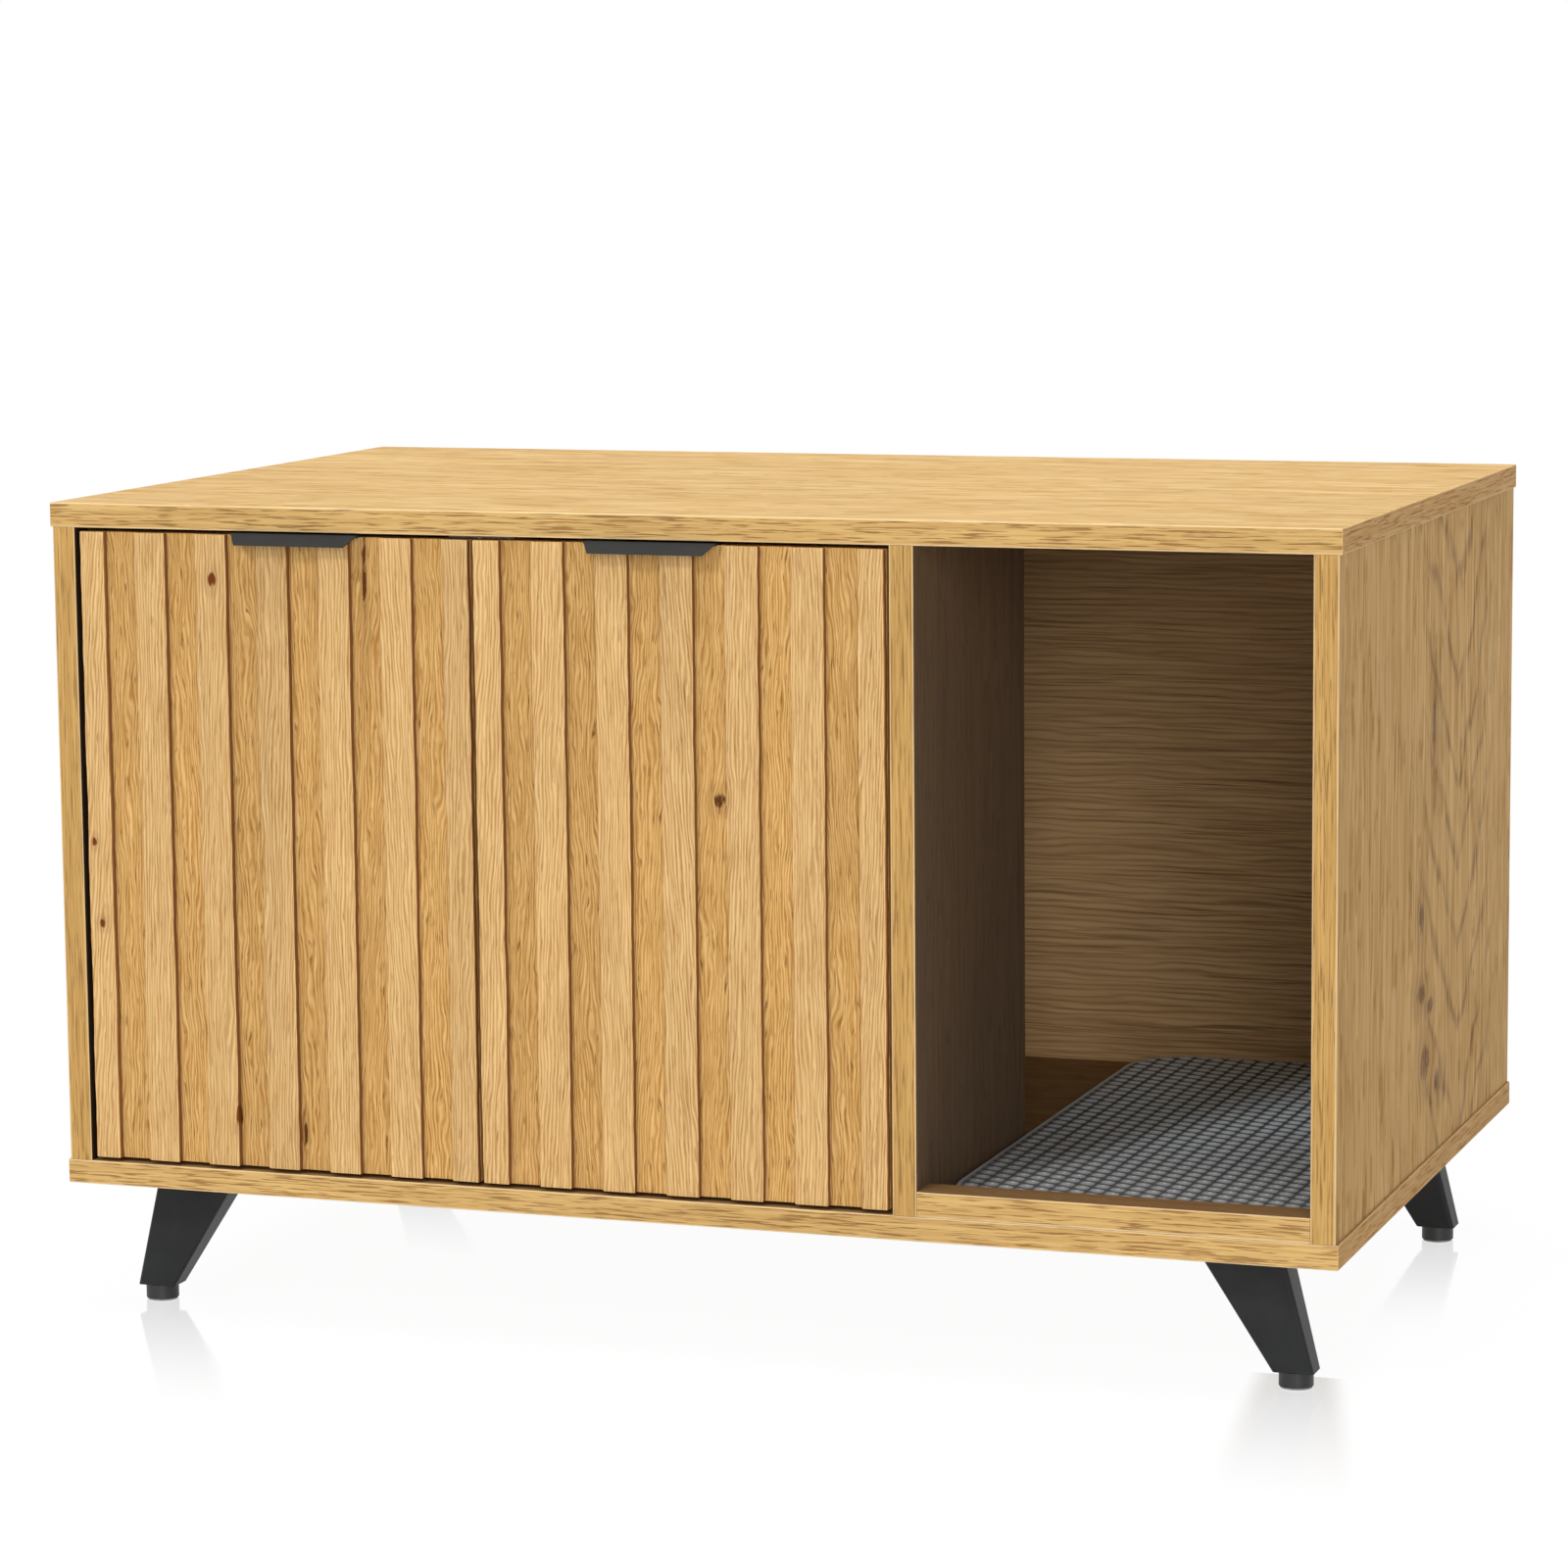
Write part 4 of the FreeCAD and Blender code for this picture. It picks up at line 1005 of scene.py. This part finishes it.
class Fittings:
    """Hinges, catch, strikes, cams, bolts, dowels and screws."""

    def build(self) -> None:
        """Dress every fitting."""
        hinges = [
            f"{side.value}_{level}_hinge_{part}"
            for part in ("cup", "arm") for side in Side for level in ("lower", "upper")
        ]
        plates = [f"{side.value}_{part}" for part in ("hinge_pins", "strike_plate") for side in Side]
        dress(hinges + plates + ["hinge_mounting_plates"], NICKEL.build())
        screws = [f"{side.value}_door_screws" for side in Side] + ["hinge_plate_screws", "leg_screws"]
        dress(screws + ["cam_bolts", "cam_locks"], ZINC.build())
        dress(["magnetic_catch"], CATCH_PLASTIC.build())
        beech = Oak(
            "beech_dowel", Axis.X, light=paint("E3C79A"), middle=paint("CFAE7C"), dark=paint("A07A48"),
            grain=Grain(pitch=0.0012, layer=0.0012, strokes=0.2),
        )
        dress(["dowels"], beech.build())


class Legs:
    """Four slanted steel legs with levelling feet."""

    def build(self) -> None:
        """Dress the legs, feet and pads."""
        corners = [f"{end.value}_{side.value}" for end in End for side in Side]
        dress([f"{corner}_leg" for corner in corners], BLACK_STEEL.build())
        dress([f"{corner}_foot" for corner in corners], FOOT_PLASTIC.build())
        dress([f"{corner}_foot_pad" for corner in corners], PAD_RUBBER.build())


@dataclass
class Mat:
    """The woven mat that lies in the entry bay.

    Attributes:
        corner: Radius of its corners.
        column: Width of a column of loops.
        stitch: Length of a loop.
        loop: How far the loops stand up.
        cell: Size of a mesh cell.
        border: Width of the bound edge.
        roll: Radius of the top edge.
        slant: How far a loop slants from its middle to its side, in stitches.
    """

    corner: float = 55 * MILLIMETRE
    column: float = 13.1 * MILLIMETRE
    stitch: float = 14.3 * MILLIMETRE
    loop: float = 1.0 * MILLIMETRE
    cell: float = 1.6 * MILLIMETRE
    border: float = 6 * MILLIMETRE
    roll: float = 3 * MILLIMETRE
    slant: float = 0.18

    def build(self) -> None:
        """Build the mat and lay it in place."""
        low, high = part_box("litter_mat")
        middle = (low + high) / 2
        width = high.x - low.x
        length = high.y - low.y
        mesh = bmesh.new()
        bmesh.ops.create_grid(
            mesh, x_segments=round(width / self.cell), y_segments=round(length / self.cell), size=0.5
        )
        bmesh.ops.scale(mesh, vec=Vector((width, length, 1)), verts=mesh.verts)
        heights = mesh.verts.layers.float.new("loop_height")
        for vert in mesh.verts:
            self.round_corner(vert, width / 2, length / 2)
            inward = self.inward(vert.co, width / 2, length / 2)
            level = self.weave(vert.co.x, vert.co.y, inward)
            vert[heights] = level
            sunk = max(0.0, 1 - inward / self.roll)
            drop = self.roll * (1 - math.sqrt(max(0.0, 1 - sunk * sunk)))
            vert.co.z = high.z - drop - self.loop * (1 - level)
        rim = [edge for edge in mesh.edges if edge.is_boundary]
        skirt = bmesh.ops.extrude_edge_only(mesh, edges=rim)["geom"]
        for vert in (part for part in skirt if isinstance(part, bmesh.types.BMVert)):
            vert.co.z = low.z
            vert[heights] = 0.0
        bmesh.ops.translate(mesh, vec=Vector((middle.x, middle.y, 0)), verts=mesh.verts)
        bmesh.ops.contextual_create(mesh, geom=[edge for edge in mesh.edges if edge.is_boundary])
        yarn = Weave("grey_weave", paint("484B4E"), paint("A8ABAC"), paint("F4F5F3"), paint("E0F2FF"))
        piece = finish_piece("woven_mat", mesh, yarn.build(), "mat", ["litter_mat"], crease=60)

    def round_corner(self, vert: bmesh.types.BMVert, half_width: float, half_length: float) -> None:
        """Draw a vertex in the square of a corner into the corner's quarter circle."""
        over_x = (abs(vert.co.x) - (half_width - self.corner)) / self.corner
        over_y = (abs(vert.co.y) - (half_length - self.corner)) / self.corner
        if over_x <= 0 or over_y <= 0:
            return
        shrink = max(over_x, over_y) / math.hypot(over_x, over_y)
        vert.co.x = math.copysign(half_width - self.corner * (1 - over_x * shrink), vert.co.x)
        vert.co.y = math.copysign(half_length - self.corner * (1 - over_y * shrink), vert.co.y)

    def inward(self, place: Vector, half_width: float, half_length: float) -> float:
        """Return how far a place lies inside the mat's outline."""
        over_x = abs(place.x) - (half_width - self.corner)
        over_y = abs(place.y) - (half_length - self.corner)
        outside = math.hypot(max(over_x, 0.0), max(over_y, 0.0)) + min(max(over_x, over_y), 0.0)
        return self.corner - outside

    def weave(self, x: float, y: float, inward: float) -> float:
        """Return the height of the weave at a place, from 0 to 1."""
        if inward < self.border:
            cord = math.sin(math.pi * min(1.0, inward / self.border))
            twist = 0.5 + 0.5 * math.cos(2 * math.pi * (x + y) / (self.stitch * 0.4))
            return cord * (0.35 + 0.3 * twist)
        column = math.floor(x / self.column)
        across = (x / self.column - column) * 2 - 1
        along = ((y / self.stitch + 0.5 * (column % 2) + self.slant * across) % 1.0) * 2 - 1
        crown = max(0.0, 1 - across * across) ** 0.6 * max(0.0, 1 - along * along) ** 0.8
        # Painted glint: one spot of each loop stands a little higher, and so takes the highlight colour.
        painted_glint_spot = math.exp(-((across - 0.15) / 0.45) ** 2 - ((along - 0.05) / 0.45) ** 2)
        return crown * (0.6 + 0.4 * painted_glint_spot)


@dataclass
class Studio:
    """A white studio: pale floor, soft even light, and a camera at the front right.

    Attributes:
        lens: Focal length on a 36 mm sensor, in millimetres.
        aim: The point that the camera looks at.
        distance: How far the camera stands from it.
        azimuth: How far round to the right the camera stands, in degrees.
        elevation: How high it stands, in degrees.
        roll: How far it is tipped, in degrees.
        ambient: Light that comes from all round.
        key: Light of the lamp at the front left, on a surface square to it.
        fill, top, back: The same for the lamps low at the front right, overhead and behind.
        painted_reflection_strength: How strongly the floor mirrors, in a painted reflection shaped like the
            legs' images.
        lean: Slope at which a leg's painted reflection slants outwards.
        spread: Slope at which it widens towards the camera.
        start: How far from the foot it begins.
        fade: How far from the foot it begins to fade, and is gone.
        edge: Its half width where it is whole, and gone.
    """

    lens: float = 114.07
    aim: Vector = field(default_factory=lambda: Vector((-0.018, 0.0, 0.3792)))
    distance: float = 3.8045
    azimuth: float = 19.45
    elevation: float = 7.859
    roll: float = -0.53
    ambient: float = 0.23
    key: float = 0.31
    fill: float = 0.30
    top: float = 0.72
    back: float = 0.15
    painted_reflection_strength: float = 0.32
    lean: float = 0.15
    spread: float = 0.07
    start: float = -0.03
    fade: tuple[float, float] = (-0.10, 0.32)
    edge: tuple[float, float] = (0.018, 0.040)

    def build(self) -> None:
        """Set up the camera, lamps, world and floor."""
        self.place_camera()
        self.hang_lamp("key_light", azimuth=-20.0, elevation=36.0, light=self.key, softness=9.0)
        self.hang_lamp("top_light", azimuth=0.0, elevation=85.0, light=self.top, softness=40.0)
        self.hang_lamp("fill_light", azimuth=22.0, elevation=14.0, light=self.fill, softness=25.0)
        self.hang_lamp("back_light", azimuth=150.0, elevation=35.0, light=self.back, softness=40.0)
        self.light_world()
        self.lay_floor()
        bpy.context.scene.view_settings.view_transform = "Standard"

    @staticmethod
    def direction(azimuth: float, elevation: float) -> Vector:
        """Return the way towards a place round the cabinet, given in degrees."""
        turn, lift = math.radians(azimuth), math.radians(elevation)
        return Vector((math.sin(turn) * math.cos(lift), -math.cos(turn) * math.cos(lift), math.sin(lift)))

    @staticmethod
    def look_back(way: Vector) -> Matrix:
        """Return the turn of what stands that way from the cabinet and looks back at it."""
        return (-way).to_track_quat("-Z", "Y").to_matrix().to_4x4()

    def place_camera(self) -> None:
        """Stand the camera where the cabinet is seen from."""
        camera = add_object("camera", bpy.data.cameras.new("camera"))
        way = self.direction(self.azimuth, self.elevation)
        tip = Matrix.Rotation(math.radians(self.roll), 4, "Z")
        stand = Matrix.Translation(self.aim + way * self.distance)
        camera.matrix_world = stand @ self.look_back(way) @ tip
        camera.data.sensor_width = SENSOR_WIDTH
        camera.data.lens = self.lens
        bpy.context.scene.camera = camera

    def hang_lamp(self, name: str, azimuth: float, elevation: float, light: float, softness: float) -> None:
        """Hang a wide soft lamp.

        Args:
            name: Name of the lamp.
            azimuth: How far round to the right it hangs, in degrees.
            elevation: How high it hangs, in degrees.
            light: Brightness of a white surface square to it.
            softness: How wide the lamp is, in degrees.
        """
        lamp = add_object(name, bpy.data.lights.new(name, "SUN"))
        lamp.data.energy = light * math.pi
        lamp.data.angle = math.radians(softness)
        way = self.direction(azimuth, elevation)
        lamp.matrix_world = Matrix.Translation(way * 4) @ self.look_back(way)

    @staticmethod
    def seen(shader: Shader) -> Value:
        """Return 1 for rays that show the background, else 0."""
        outputs = shader.node("ShaderNodeLightPath", {}, {}).outputs
        rays = [Value(shader, outputs[f"Is {kind} Ray"]) for kind in ("Camera", "Glossy", "Transmission")]
        return rays[0].most(rays[1]).most(rays[2])

    def light_world(self) -> None:
        """Make the world a soft light that looks white."""
        world = bpy.data.worlds.new("studio")
        bpy.context.scene.world = world
        shader = Shader("studio", world)
        soft = shader.node("ShaderNodeBackground", {}, {"Color": WHITE, "Strength": self.ambient})
        plain = shader.node("ShaderNodeBackground", {}, {"Color": WHITE, "Strength": 1.0})
        both = shader.cover(self.seen(shader), soft, plain)
        shader.node("ShaderNodeOutputWorld", {}, {"Surface": both.outputs[0]})

    def lay_floor(self) -> None:
        """Lay a wide white floor with a faint painted reflection of the legs, clear from below."""
        mesh = bmesh.new()
        bmesh.ops.create_grid(mesh, x_segments=1, y_segments=1, size=30.0)
        shader = Shader("floor")
        pale = shader.node("ShaderNodeBsdfDiffuse", {}, {"Color": (0.8, 0.8, 0.8, 1.0)})
        veil = shader.node("ShaderNodeBsdfDiffuse", {}, {"Color": (0.04, 0.04, 0.04, 1.0)})
        glow = shader.node("ShaderNodeEmission", {}, {"Color": WHITE, "Strength": 0.96})
        plain = shader.node("ShaderNodeAddShader", {}, {0: veil.outputs[0], 1: glow.outputs[0]})
        gloss = shader.node("ShaderNodeBsdfAnisotropic", {}, {"Color": WHITE, "Roughness": 0.08})
        # The floor mirrors only inside the painted reflection's leg-shaped patches.
        top = shader.cover(self.painted_reflection(shader), plain, gloss)
        both = shader.cover(self.seen(shader), pale, top)
        below = Value(shader, shader.node("ShaderNodeNewGeometry", {}, {}).outputs["Backfacing"])
        clear = shader.node("ShaderNodeBsdfTransparent", {}, {})
        whole = shader.cover(below, both, clear)
        shader.node("ShaderNodeOutputMaterial", {}, {"Surface": whole.outputs[0]})
        floor = add_mesh("floor", mesh, shader.owner)

    def painted_reflection(self, shader: Shader) -> Number:
        """Return the mask of the painted reflection: how strongly the floor mirrors, most at each foot, less
        towards the camera.
        """
        x, y, _ = shader.position()
        slope = math.tan(math.radians(self.azimuth))
        painted_reflection: Number = 0.0
        for end in End:
            for side in Side:
                low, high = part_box(f"{end.value}_{side.value}_foot")
                foot = (low + high) / 2
                ahead = y * -1 + foot.y
                lean = slope - math.copysign(self.lean, foot.x)
                aside = (x - foot.x - ahead * lean).size() - ahead * self.spread
                near = (1 - ahead.rise(*self.fade)) * (ahead > self.start)
                painted_reflection = (near * (1 - aside.rise(*self.edge))).most(painted_reflection)
        return painted_reflection * self.painted_reflection_strength


def main() -> None:
    """Build the cabinet's looks in order."""
    logging.basicConfig(level=logging.INFO, format="%(name)s: %(message)s")
    Studio().build()
    Carcass().build()
    for side in Side:
        RibbedDoor(side).build()
    Handles().build()
    Fittings().build()
    Legs().build()
    Mat().build()


if __name__ == "__main__":
    main()
